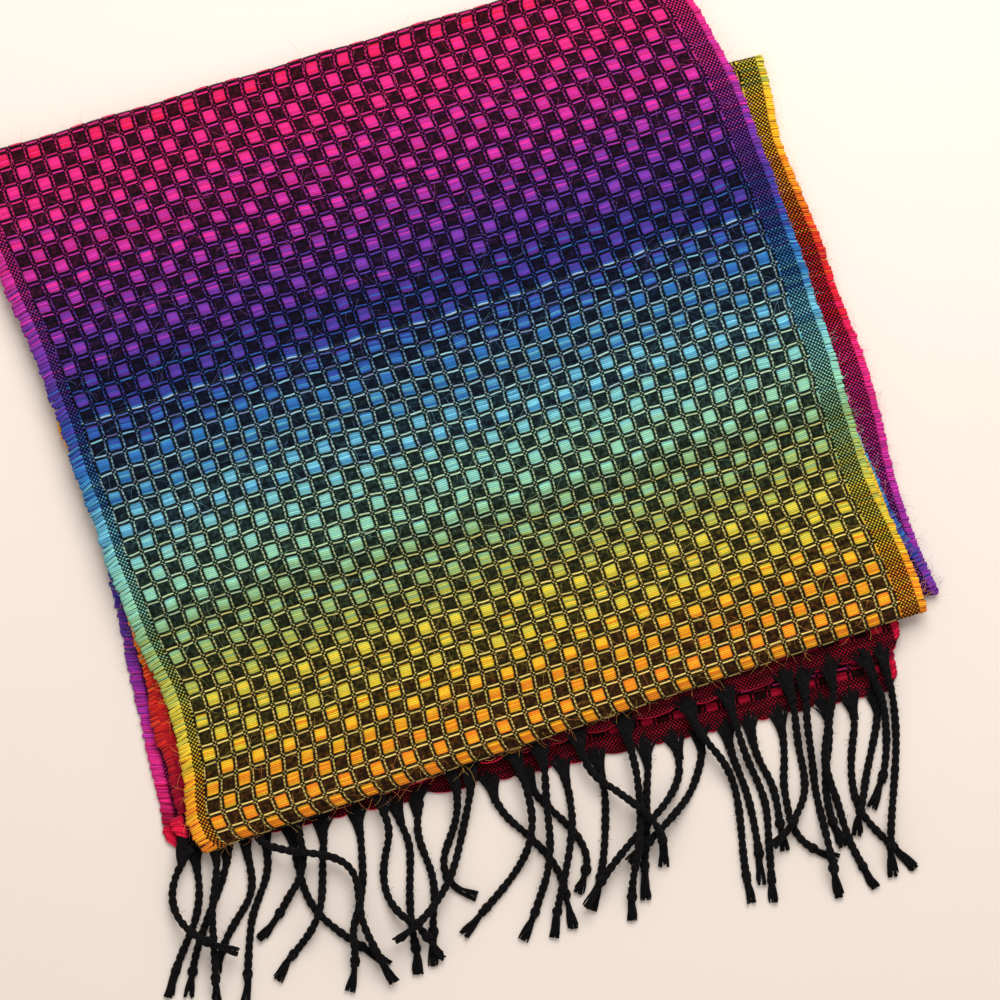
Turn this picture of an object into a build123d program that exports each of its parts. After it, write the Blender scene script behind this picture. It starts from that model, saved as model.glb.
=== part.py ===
"""A handwoven scarf folded into a flat stack of six layers, with a twisted cord fringe at each end.

Millimetres, +Z up, the table at z = 0.  +X runs along the weft of the top layer, +Y points to the far
folds, and both fringes lie towards -Y.  The cloth is one strip, folded like a zigzag:

    lower hem - layer 1 - fold - layer 2 - fold - layer 3 - fold - layer 6 - fold - layer 5 - fold - layer 4 - upper hem

Layers are numbered from the table upwards.  Layers 4 and 5 lie inside the fold from layer 3 to layer 6.
"""
from build123d import *
from math import cos, pi, radians, sin, tan
import os

os.makedirs("parts", exist_ok=True)

# ---- driving dimensions -------------------------------------------------------------------------
CLOTH_WIDTH = 298.0      # selvedge to selvedge
HEM_WIDTH = 292.0        # the plain-weave headers draw in a little
CLOTH_THICKNESS = 1.5    # one layer of the woven cloth
LAYER_GAP = 0.3          # air between two layers that lie on each other
FOLD_EASE = 0.3          # play between a fold and the layer that it lets open
HEM_DEPTH = 12.0         # header, from the last pattern square to the tips of its scallops
SCALLOP_DEPTH = 4.0      # how far the header hangs down between two cords
NECK_LENGTH = 7.0        # gathered warp between the header and a twisted cord
CORD_DIAMETER = 2.6      # twisted fringe cord
ARC_SHARE = 0.45         # share of the shorter run that a bend of a cord may use

LAYER_PITCH = CLOTH_THICKNESS + LAYER_GAP


def layer_floor(layer):
    """Height of the underside of a layer, counted from 1 at the table."""
    return (layer - 1) * LAYER_PITCH


# A cord that crosses another one lies one step higher.  The first step brings the top of a cord
# level with the top of layer 4, which carries the upper hem.
CORD_STEP = layer_floor(4) + CLOTH_THICKNESS - CORD_DIAMETER


def cord_height(step):
    """Height of a cord's centre: step 0 lies on the table, 1 over one cord, 2 over two."""
    return CORD_DIAMETER / 2 + step * CORD_STEP


class CrossLine:
    """A line straight across the cloth: its left end, and how far it turns clockwise seen from above."""

    def __init__(self, left, turn, width=CLOTH_WIDTH):
        self.left = Vector(*left)
        self.along = Vector(cos(radians(turn)), -sin(radians(turn)))
        self.inward = Vector(sin(radians(turn)), cos(radians(turn)))
        self.width = width

    def right(self):
        return self.left + self.along * self.width

    def moved(self, distance):
        """The same line, moved towards the far side of the stack."""
        line = CrossLine((0, 0), 0, self.width)
        line.along, line.inward = self.along, self.inward
        line.left = self.left + self.inward * distance
        return line


# Folds and hems, in the order in which the cloth runs.
LOWER_HEM_EDGE = CrossLine((-162.5, -138.4), 5.64, HEM_WIDTH)
FOLD_1_2 = CrossLine((-136.5, 105.3), 3.90)
FOLD_2_3 = CrossLine((-140.0, -128.3), 1.29)
FOLD_3_6 = CrossLine((-153.0, 144.7), 1.96)
FOLD_5_6 = CrossLine((-149.5, -139.4), 0.0)
FOLD_4_5 = CrossLine((-149.0, 112.0), 1.0)
UPPER_HEM_EDGE = CrossLine((-157.5, -136.5), 3.05, HEM_WIDTH)

# Routes of the fringe cords, from the hem outwards: x, y and the step of each point.
LOWER_CORDS = [
    [(-155.6, -140.2, 0), (-156.2, -147.2, 0), (-157.8, -154.5, 0), (-161, -162, 0), (-166, -169, 0),
     (-172, -175.5, 0), (-178, -183, 0), (-183, -191, 0)],
    [(-141.1, -141.6, 0), (-144.5, -148.5, 0), (-149.5, -155.5, 0), (-155.5, -162.5, 0), (-161.5, -170, 0),
     (-167, -177.5, 0), (-171.5, -185.5, 0), (-175.5, -193.5, 0)],
    [(-134.1, -142.3, 0), (-135.8, -150, 0), (-136.8, -158, 0), (-140.5, -164.5, 0), (-147, -169.8, 0),
     (-153.5, -175.5, 0), (-158, -181.5, 0), (-162, -187.5, 0)],
    [(-127.6, -142.9, 0), (-127.8, -150.5, 0), (-131, -158, 0), (-136.3, -164.5, 0), (-141.5, -171, 0),
     (-145, -178.5, 0), (-148.5, -187, 0), (-152, -196, 0), (-156, -205, 0)],
    [(-115.6, -144.1, 0), (-117.5, -152, 0), (-118.3, -160.5, 0), (-118.7, -169.5, 0), (-117, -177.5, 0),
     (-112.5, -185.5, 0), (-106.7, -193.5, 0), (-101, -200, 0), (-96.5, -206.8, 0)],
    [(-103.1, -145.4, 0), (-105.6, -152.6, 0), (-108.5, -160, 0), (-111, -167.5, 0), (-114, -175.5, 1),
     (-119.5, -182.5, 1), (-127, -188, 0), (-134.2, -192.5, 0), (-140.3, -198.2, 0)],
    [(-89.1, -146.7, 0), (-91, -155, 0), (-93.3, -164, 0), (-96, -173, 0), (-100.5, -181.5, 0),
     (-105.5, -188.5, 1), (-107.3, -197, 1), (-110, -204.5, 0), (-114.5, -211.5, 0)],
    [(-75.1, -148.1, 0), (-74, -156, 0), (-73.5, -164, 0), (-76, -172, 0), (-79, -180, 0),
     (-81.5, -188, 0), (-83.5, -196.5, 0), (-84.5, -205.5, 0), (-86.8, -213.7, 0)],
    [(-64.1, -149.2, 0), (-67.5, -155, 0), (-69.5, -162, 0), (-69.3, -170, 0), (-68.8, -178, 0),
     (-70.5, -186, 0), (-74, -194, 0), (-77, -203.5, 0), (-80.3, -212.5, 0)],
    [(-36.1, -152, 0), (-36, -159.5, 0), (-33.5, -167, 0), (-29, -174, 0), (-25, -181.5, 0),
     (-21.8, -189.5, 0), (-21, -198, 0), (-22.3, -207.3, 0), (-23, -216.3, 0)],
    [(-22.1, -153.4, 0), (-20.5, -161, 0), (-16.5, -168.5, 0), (-12.3, -176, 0), (-9, -184, 0),
     (-8.8, -192, 0), (-12.5, -198.5, 0), (-17, -203.5, 0)],
    [(-7.6, -154.7, 0), (-7.1, -161.5, 0), (-8.2, -168.6, 0), (-9.5, -175, 1), (-13.5, -184, 1),
     (-17.8, -192, 1), (-23, -200.5, 1), (-27.5, -208.5, 0), (-31.5, -217, 0)],
    [(6.9, -156.2, 0), (6.8, -164, 0), (5.2, -172, 0), (2.5, -180, 0), (-0.5, -188, 0),
     (-4, -196, 0), (-8.5, -204, 0), (-14, -211.5, 0)],
    [(27.4, -158.2, 0), (25, -166, 0), (21.8, -173.5, 0), (19, -181.5, 0), (16.5, -189.5, 0),
     (13, -197.5, 0), (10, -206, 0), (7.7, -214.6, 0)],
    [(37.9, -159.3, 0), (38, -167, 0), (34.5, -174.5, 0), (28, -180, 1), (20.5, -184.5, 1),
     (13, -188.5, 1), (5.5, -193, 1), (-2, -198, 1), (-9, -203.5, 1), (-15.5, -209.5, 1)],
    [(48.9, -160.4, 0), (47, -167.5, 0), (42.5, -174.5, 0), (37, -181, 0), (29.5, -185.5, 1),
     (21.5, -189.9, 1), (13.5, -193.8, 1), (6, -198.2, 1)],
    [(59.9, -161.5, 0), (58, -169, 0), (58.5, -177, 0), (59, -186, 0), (58.3, -195.5, 0),
     (57, -205, 0), (55.3, -214.5, 0), (53, -223.5, 0)],
    [(69.4, -162.4, 0), (67.2, -170, 0), (67.8, -178, 0), (69.5, -186.5, 0), (69, -195, 0),
     (67, -204.5, 0), (66, -213.7, 0)],
    [(80.4, -163.5, 0), (79.5, -171.5, 0), (77, -180, 0), (73.8, -188, 0), (72.5, -196.5, 0),
     (71.5, -205, 0), (73.5, -212.5, 0), (78.8, -218.6, 0), (85, -223.4, 0)],
    [(98.4, -165.2, 0), (98.5, -172.5, 0), (95.5, -180, 0), (91.5, -187.5, 0), (88.8, -195.5, 0),
     (87.5, -204, 0), (87.3, -212, 0), (88.2, -219.5, 0)],
    [(109.4, -166.3, 0), (108.5, -174, 0), (105, -181, 0), (101.8, -188.5, 0), (99.5, -196.5, 0),
     (98.5, -205, 0), (100.5, -213, 0), (104, -220.5, 0), (108.5, -228.5, 0), (112.3, -236.8, 0)],
    [(119.4, -167.3, 0), (117.5, -175, 0), (113.5, -182.5, 0), (109, -190, 0), (105, -197, 0),
     (101.5, -203.5, 1), (97, -210.5, 1), (94.8, -217, 0)],
]
UPPER_CORDS = [
    [(-155.5, -137.6, 1), (-161.5, -142.6, 1), (-167, -149, 0.6), (-169.8, -156.5, 0.3), (-168.6, -164.2, 1),
     (-163.4, -171.8, 2), (-156, -178, 2), (-150.5, -182, 1)],
    [(-145.2, -138.2, 1), (-147.5, -146.5, 1), (-151.2, -155, 1), (-155.4, -163.5, 1), (-158, -172.5, 1),
     (-160.3, -181.5, 1), (-163, -190.8, 1), (-165.8, -199, 0.2)],
    [(-131, -138.9, 1), (-128, -145, 1), (-120.5, -149.8, 2), (-111, -154.2, 2), (-104, -158.3, 1),
     (-98.7, -163.5, 1), (-97.4, -171, 1), (-99.5, -179, 1), (-100.8, -187.5, 1), (-99.8, -196.4, 1),
     (-98, -205.2, 1), (-96.6, -213.6, 0.3)],
    [(-113.2, -139.9, 1), (-113.4, -147.5, 1), (-114.5, -155.5, 1), (-118.5, -162.8, 1), (-124.7, -167.7, 0.5),
     (-130.5, -173.2, 0), (-136.5, -177.8, 0), (-142, -180.6, 0)],
    [(-80.5, -141.7, 1), (-78.5, -149.5, 1), (-79.5, -157.5, 1), (-84.2, -165, 0.3), (-87.8, -173, 0),
     (-88.6, -181.5, 0), (-85.5, -189.3, 1), (-80, -195.8, 1), (-77.3, -203.8, 1), (-74.6, -210.9, 0.2)],
    [(-48.2, -143.4, 1), (-49.3, -151.5, 1), (-52.5, -159.5, 0.5), (-57.5, -166.5, 0), (-62.8, -173, 0),
     (-64.3, -180.5, 0), (-61, -187.5, 0), (-55, -192, 0)],
    [(-40.2, -143.8, 1), (-44, -151.5, 1), (-48.5, -159.5, 0.5), (-53.5, -168, 0), (-59, -177, 1),
     (-66.5, -185.5, 1), (-75, -191.5, 2), (-84, -195.8, 2), (-91, -197.5, 1)],
    [(-24.2, -144.6, 1), (-22.8, -153, 1), (-23, -162, 1), (-24.8, -171.5, 1), (-29.5, -180, 1),
     (-36, -186.5, 0), (-43, -191.5, 0), (-50.5, -196, 0), (-58, -200.3, 0), (-65, -204.8, 0)],
    [(-12.1, -145.3, 1), (-13.8, -153.5, 1), (-16.3, -162, 1), (-18.3, -170.5, 1), (-20.5, -180.5, 1),
     (-25.5, -192, 1), (-31.5, -200, 0), (-37, -207.7, 0), (-43.5, -214, 0)],
    [(3, -146.2, 1), (2, -154, 1), (4.3, -162, 1), (9.8, -168.7, 1), (14.8, -175.3, 2),
     (19.3, -182, 2), (21.8, -190, 2), (20.8, -197.5, 1), (18.5, -204.5, 0)],
    [(22, -147.2, 1), (21, -155.5, 1), (20.5, -164, 1), (18.8, -172.5, 1), (16.9, -180, 1),
     (14.2, -187, 2), (10.5, -195.5, 2), (6, -203.5, 1), (2.5, -212, 0.3), (0, -220.5, 0)],
    [(47, -148.5, 1), (48, -156.5, 1), (51, -164.3, 1), (54, -172, 1), (55.3, -180.5, 0.3),
     (54.5, -189.5, 0), (52.5, -199, 0), (50, -209, 0), (48, -219, 0), (47, -229, 0)],
    [(63, -149.3, 1), (63.5, -158, 1), (63, -167, 1), (63.3, -176, 0.5), (64.5, -185, 0),
     (64.7, -194, 0), (62.5, -203, 0), (60, -212, 0), (57.5, -222, 0), (54.9, -231.5, 0)],
    [(88, -150.7, 1), (87.3, -159.5, 1), (85.5, -168.5, 0.6), (83.8, -177.5, 0), (83, -186.5, 0),
     (80.5, -195, 0.3), (74.5, -201.5, 1), (68, -206.5, 1), (61.5, -209.5, 1)],
    [(95, -151.1, 1), (92.5, -159.5, 1), (90, -168, 1), (88.5, -177, 0.4), (86.8, -186, 0),
     (84.8, -195, 0), (84, -204, 0), (83, -214.5, 1), (81.5, -226.5, 1), (80.5, -238, 0)],
    [(106, -151.6, 1), (104, -160, 1), (99.5, -168, 1), (95.3, -176, 1), (91.8, -184, 1),
     (91.3, -193, 0.7), (91.7, -202, 0), (91.2, -211, 0), (91.4, -220, 0), (93, -229.5, 0),
     (95, -239, 0)],
    [(119, -152.3, 1), (120.5, -161, 1), (121.3, -170, 0.6), (119.6, -179, 0), (117, -187.5, 0),
     (113.5, -195.5, 0), (109, -202.5, 0), (103.5, -208.5, 0)],
    [(126, -152.6, 1), (126, -161, 1), (125.3, -170, 0.5), (123.5, -179, 0), (121, -187.5, 0),
     (117.7, -196, 0), (114, -205, 0), (109, -215.5, 1), (105, -226.5, 1), (103.2, -237, 0)],
]


def save(part, name):
    """Labels a finished piece and writes its STEP file."""
    part.label = name
    export_step(part, f"parts/{name}.step")


def make_layer(name, layer, near, far):
    """A flat layer of cloth between two lines across the stack."""
    with BuildPart() as cloth:
        with BuildSketch(Plane.XY.offset(layer_floor(layer))):
            with BuildLine():
                Polyline(near.left, near.right(), far.right(), far.left, close=True)
            make_face()
        extrude(amount=CLOTH_THICKNESS)
    save(cloth.part, name)


def make_fold(name, line, low_layer, high_layer, outward):
    """The half-round bend of cloth from one layer to a higher one; outward is 1 at a far fold, -1 at a near one."""
    bottom = layer_floor(low_layer)
    top = layer_floor(high_layer) + CLOTH_THICKNESS
    outer_radius = (top - bottom) / 2
    centre = line.left + Vector(0, 0, bottom + outer_radius)
    across = Plane(origin=centre, x_dir=line.inward * outward, z_dir=line.along)
    with BuildPart() as bend:
        with BuildSketch(across):
            Circle(outer_radius)
            Circle(outer_radius - CLOTH_THICKNESS, mode=Mode.SUBTRACT)
            split(bisect_by=Plane.YZ, keep=Keep.TOP)
        extrude(amount=line.width)
    save(bend.part, name)


def cord_points(route):
    return [Vector(x, y, cord_height(step)) for x, y, step in route]


def make_hem(name, layer, edge, routes):
    """A plain-weave header: scalloped between the cords, with a round gathered neck at each cord."""
    local = Plane(origin=edge.left + Vector(0, 0, layer_floor(layer)), x_dir=edge.along, z_dir=(0, 0, 1))
    roots = [(cord_points(route)[0] - edge.left).dot(edge.along) for route in routes]
    stops = [0.0] + roots + [edge.width]
    with BuildPart() as hem:
        with BuildSketch(local):
            with BuildLine():
                for start, stop in zip(stops, stops[1:]):
                    low = SCALLOP_DEPTH - min(SCALLOP_DEPTH, (stop - start) / 2)
                    ThreePointArc((start, SCALLOP_DEPTH), ((start + stop) / 2, low), (stop, SCALLOP_DEPTH))
                Polyline((edge.width, SCALLOP_DEPTH), (edge.width, HEM_DEPTH), (0, HEM_DEPTH), (0, SCALLOP_DEPTH))
            make_face()
        extrude(amount=CLOTH_THICKNESS)
        for route in routes:
            root, following = cord_points(route)[:2]
            with BuildSketch(Plane(origin=root, z_dir=root - following)):
                Circle(CORD_DIAMETER / 2)
            extrude(amount=NECK_LENGTH)
    save(hem.part, name)


def make_cord(name, route):
    """A tube along straight runs that tangent arcs join; prints the arcs' radii."""
    points = cord_points(route)
    radii = []
    for before, corner, after in zip(points, points[1:], points[2:]):
        turn = (corner - before).get_angle(after - corner)
        shorter_run = min((corner - before).length, (after - corner).length)
        radii.append(ARC_SHARE * shorter_run / tan(radians(turn / 2)))
    with BuildPart() as cord:
        with BuildLine():
            path = FilletPolyline(*points, radius=radii)
        with BuildSketch(Plane(origin=points[0], z_dir=points[1] - points[0])):
            Circle(CORD_DIAMETER / 2)
        sweep(path=path)
    straight_volume = pi * (CORD_DIAMETER / 2) ** 2 * path.length
    print(f"{name}: length {path.length:.1f}, volume against section x length {cord.part.volume / straight_volume:.3f},",
          f"smallest radius {min(radii):.1f}, radii", " ".join(f"{radius:.0f}" for radius in radii))
    save(cord.part, name)


# ---- the six layers -----------------------------------------------------------------------------
make_layer("layer_1_bottom", 1, LOWER_HEM_EDGE.moved(HEM_DEPTH), FOLD_1_2)
make_layer("layer_2", 2, FOLD_2_3, FOLD_1_2.moved(-FOLD_EASE))
make_layer("layer_3", 3, FOLD_2_3.moved(FOLD_EASE), FOLD_3_6)
make_layer("layer_4_tucked", 4, UPPER_HEM_EDGE.moved(HEM_DEPTH), FOLD_4_5)
make_layer("layer_5_tucked", 5, FOLD_5_6, FOLD_4_5)
make_layer("layer_6_top", 6, FOLD_5_6, FOLD_3_6.moved(-FOLD_EASE))

# ---- the five folds -----------------------------------------------------------------------------
make_fold("fold_1_to_2", FOLD_1_2, 1, 2, 1)
make_fold("fold_2_to_3", FOLD_2_3, 2, 3, -1)
make_fold("fold_3_to_6", FOLD_3_6, 3, 6, 1)
make_fold("fold_6_to_5", FOLD_5_6, 5, 6, -1)
make_fold("fold_5_to_4", FOLD_4_5, 4, 5, 1)

# ---- the two hems and their fringes -------------------------------------------------------------
make_hem("lower_hem", 1, LOWER_HEM_EDGE, LOWER_CORDS)
make_hem("upper_hem", 4, UPPER_HEM_EDGE, UPPER_CORDS)
for number, cord_route in enumerate(LOWER_CORDS, start=1):
    make_cord(f"lower_fringe_cord_{number:02d}", cord_route)
for number, cord_route in enumerate(UPPER_CORDS, start=1):
    make_cord(f"upper_fringe_cord_{number:02d}", cord_route)
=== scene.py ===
"""A handwoven wool scarf folded into a flat stack, with a twisted cord fringe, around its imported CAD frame.

Laid out as a Blender add-on: settings, one operator for each group of pieces, and a sidebar panel.
Shapes are worked out in mm and become metres in make_piece.  +X runs along the weft, +Y to the far folds.
"""

import bpy
import numpy as np
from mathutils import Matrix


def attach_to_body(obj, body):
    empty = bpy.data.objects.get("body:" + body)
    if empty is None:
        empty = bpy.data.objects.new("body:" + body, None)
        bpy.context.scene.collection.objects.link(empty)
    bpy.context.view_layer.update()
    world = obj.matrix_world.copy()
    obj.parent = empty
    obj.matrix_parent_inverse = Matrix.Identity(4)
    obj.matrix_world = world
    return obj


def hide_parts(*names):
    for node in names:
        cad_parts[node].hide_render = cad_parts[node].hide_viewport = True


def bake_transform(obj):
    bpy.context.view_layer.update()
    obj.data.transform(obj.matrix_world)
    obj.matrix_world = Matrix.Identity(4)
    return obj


bl_info = {
    "name": "Folded Handwoven Scarf",
    "version": (1, 0, 0),
    "blender": (4, 5, 0),
    "location": "View3D > Sidebar > Scarf",
    "description": "Builds the woven sheets, hems, twisted fringe and fuzz of a folded scarf",
    "category": "Add Mesh",
}

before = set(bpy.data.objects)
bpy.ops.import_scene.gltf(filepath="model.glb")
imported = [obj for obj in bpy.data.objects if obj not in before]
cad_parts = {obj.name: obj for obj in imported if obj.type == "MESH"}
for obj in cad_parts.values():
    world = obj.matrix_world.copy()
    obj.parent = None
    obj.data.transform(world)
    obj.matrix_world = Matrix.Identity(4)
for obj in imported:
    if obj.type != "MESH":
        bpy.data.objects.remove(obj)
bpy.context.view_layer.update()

MM = 0.001
UPWARD = np.array((0.0, 0.0, 1.0))
TABLE_VIEW_CENTRE_MM = (3.5, -46.6)
VIEW_WIDTH_MM = 393.2
VIEW_HEIGHT_MM = 6.0       # height of the plane that the view's width is measured in
VIEW_TURN = -18.6          # degrees about the vertical
TABLE_HALF = 3.0           # metres, as the lamp's size and place
LAMP_SIZE, LAMP_PLACE = 0.9, (0.42, 0.69, 0.95)
LAMP_TURN = (-34, 24, 0)   # degrees, to face the scarf from behind its right side

# ---- how the cloth is folded, in mm -------------------------------------------------------------
CLOTH_WIDTH = 298.0
HEM_WIDTH = 292.0
HEM_DEPTH = 12.0
SCALLOP_DEPTH = 4.0
LAYER_PITCH = 1.8
HALF_CLOTH = 0.62          # half of a layer's thickness, without the relief of the weave
SAG = 0.5                  # how far a layer with nothing under it sinks to the table, 0 to 1
SAG_REACH = 14.0           # the cloth needs this much room to sink past an edge

# ---- the draft: blocks of eight ends by eight picks, plain weave beside them, loops at the edge ----
BLOCK = 8
FIRST_END = 0.7            # thread count at the cut cloth's left edge
PLAIN_LEFT, PLAIN_RIGHT = 8.0, 354.0
LOOPS_LEFT, LOOPS_RIGHT = 2.2, 363.3
FRAME_LEAD = 11.0          # mm that the threads round a block are ahead in the rainbow


class CrossLine:
    """A line straight across the cloth: its left end, and how far it turns clockwise seen from above."""

    def __init__(self, left, turn, width=CLOTH_WIDTH):
        angle = np.radians(turn)
        self.left = np.array(left, float)
        self.along = np.array((np.cos(angle), -np.sin(angle)))
        self.inward = np.array((np.sin(angle), np.cos(angle)))
        self.width = width

    def at(self, distance):
        return self.left + np.asarray(distance)[..., None] * self.along

    def moved(self, distance):
        line = CrossLine((0, 0), 0, self.width)
        line.along, line.inward = self.along, self.inward
        line.left = self.left + self.inward * distance
        return line


LOWER_HEM_EDGE = CrossLine((-162.5, -138.4), 5.64, HEM_WIDTH)
FOLD_1_2 = CrossLine((-136.5, 105.3), 3.90)
FOLD_2_3 = CrossLine((-140.0, -128.3), 1.29)
FOLD_3_6 = CrossLine((-153.0, 144.7), 1.96)
FOLD_5_6 = CrossLine((-149.5, -139.4), 0.0)
FOLD_4_5 = CrossLine((-149.0, 112.0), 1.0)
UPPER_HEM_EDGE = CrossLine((-157.5, -136.5), 3.05, HEM_WIDTH)

# The near and far line of each layer, from the table upwards.
LAYER_LINES = [
    (LOWER_HEM_EDGE, FOLD_1_2),
    (FOLD_2_3, FOLD_1_2),
    (FOLD_2_3, FOLD_3_6),
    (UPPER_HEM_EDGE, FOLD_4_5),
    (FOLD_5_6, FOLD_4_5),
    (FOLD_5_6, FOLD_3_6),
]

# Routes of the fringe cords, from the hem outwards: x, y in mm, and the step of each point where it isn't 0.
# On step 0 a cord lies on the table, on step 1 over one cord, on step 2 over two.
LOWER_CORDS = [
    [(-155.6, -140.2), (-156.2, -147.2), (-157.8, -154.5), (-161, -162), (-166, -169), (-172, -175.5), (-178, -183),
     (-183, -191)],
    [(-141.1, -141.6), (-144.5, -148.5), (-149.5, -155.5), (-155.5, -162.5), (-161.5, -170), (-167, -177.5),
     (-171.5, -185.5), (-175.5, -193.5)],
    [(-134.1, -142.3), (-135.8, -150), (-136.8, -158), (-140.5, -164.5), (-147, -169.8), (-153.5, -175.5),
     (-158, -181.5), (-162, -187.5)],
    [(-127.6, -142.9), (-127.8, -150.5), (-131, -158), (-136.3, -164.5), (-141.5, -171), (-145, -178.5),
     (-148.5, -187), (-152, -196), (-156, -205)],
    [(-115.6, -144.1), (-117.5, -152), (-118.3, -160.5), (-118.7, -169.5), (-117, -177.5), (-112.5, -185.5),
     (-106.7, -193.5), (-101, -200), (-96.5, -206.8)],
    [(-103.1, -145.4), (-105.6, -152.6), (-108.5, -160), (-111, -167.5), (-114, -175.5, 1), (-119.5, -182.5, 1),
     (-127, -188), (-134.2, -192.5), (-140.3, -198.2)],
    [(-89.1, -146.7), (-91, -155), (-93.3, -164), (-96, -173), (-100.5, -181.5), (-105.5, -188.5, 1),
     (-107.3, -197, 1), (-110, -204.5), (-114.5, -211.5)],
    [(-75.1, -148.1), (-74, -156), (-73.5, -164), (-76, -172), (-79, -180), (-81.5, -188), (-83.5, -196.5),
     (-84.5, -205.5), (-86.8, -213.7)],
    [(-64.1, -149.2), (-67.5, -155), (-69.5, -162), (-69.3, -170), (-68.8, -178), (-70.5, -186), (-74, -194),
     (-77, -203.5), (-80.3, -212.5)],
    [(-36.1, -152), (-36, -159.5), (-33.5, -167), (-29, -174), (-25, -181.5), (-21.8, -189.5), (-21, -198),
     (-22.3, -207.3), (-23, -216.3)],
    [(-22.1, -153.4), (-20.5, -161), (-16.5, -168.5), (-12.3, -176), (-9, -184), (-8.8, -192), (-12.5, -198.5),
     (-17, -203.5)],
    [(-7.6, -154.7), (-7.1, -161.5), (-8.2, -168.6), (-9.5, -175, 1), (-13.5, -184, 1), (-17.8, -192, 1),
     (-23, -200.5, 1), (-27.5, -208.5), (-31.5, -217)],
    [(6.9, -156.2), (6.8, -164), (5.2, -172), (2.5, -180), (-0.5, -188), (-4, -196), (-8.5, -204), (-14, -211.5)],
    [(27.4, -158.2), (25, -166), (21.8, -173.5), (19, -181.5), (16.5, -189.5), (13, -197.5), (10, -206),
     (7.7, -214.6)],
    [(37.9, -159.3), (38, -167), (34.5, -174.5), (28, -180, 1), (20.5, -184.5, 1), (13, -188.5, 1), (5.5, -193, 1),
     (-2, -198, 1), (-9, -203.5, 1), (-15.5, -209.5, 1)],
    [(48.9, -160.4), (47, -167.5), (42.5, -174.5), (37, -181), (29.5, -185.5, 1), (21.5, -189.9, 1),
     (13.5, -193.8, 1), (6, -198.2, 1)],
    [(59.9, -161.5), (58, -169), (58.5, -177), (59, -186), (58.3, -195.5), (57, -205), (55.3, -214.5), (53, -223.5)],
    [(69.4, -162.4), (67.2, -170), (67.8, -178), (69.5, -186.5), (69, -195), (67, -204.5), (66, -213.7)],
    [(80.4, -163.5), (79.5, -171.5), (77, -180), (73.8, -188), (72.5, -196.5), (71.5, -205), (73.5, -212.5),
     (78.8, -218.6), (85, -223.4)],
    [(98.4, -165.2), (98.5, -172.5), (95.5, -180), (91.5, -187.5), (88.8, -195.5), (87.5, -204), (87.3, -212),
     (88.2, -219.5)],
    [(109.4, -166.3), (108.5, -174), (105, -181), (101.8, -188.5), (99.5, -196.5), (98.5, -205), (100.5, -213),
     (104, -220.5), (108.5, -228.5), (112.3, -236.8)],
    [(119.4, -167.3), (117.5, -175), (113.5, -182.5), (109, -190), (105, -197), (101.5, -203.5, 1), (97, -210.5, 1),
     (94.8, -217)],
]
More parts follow.
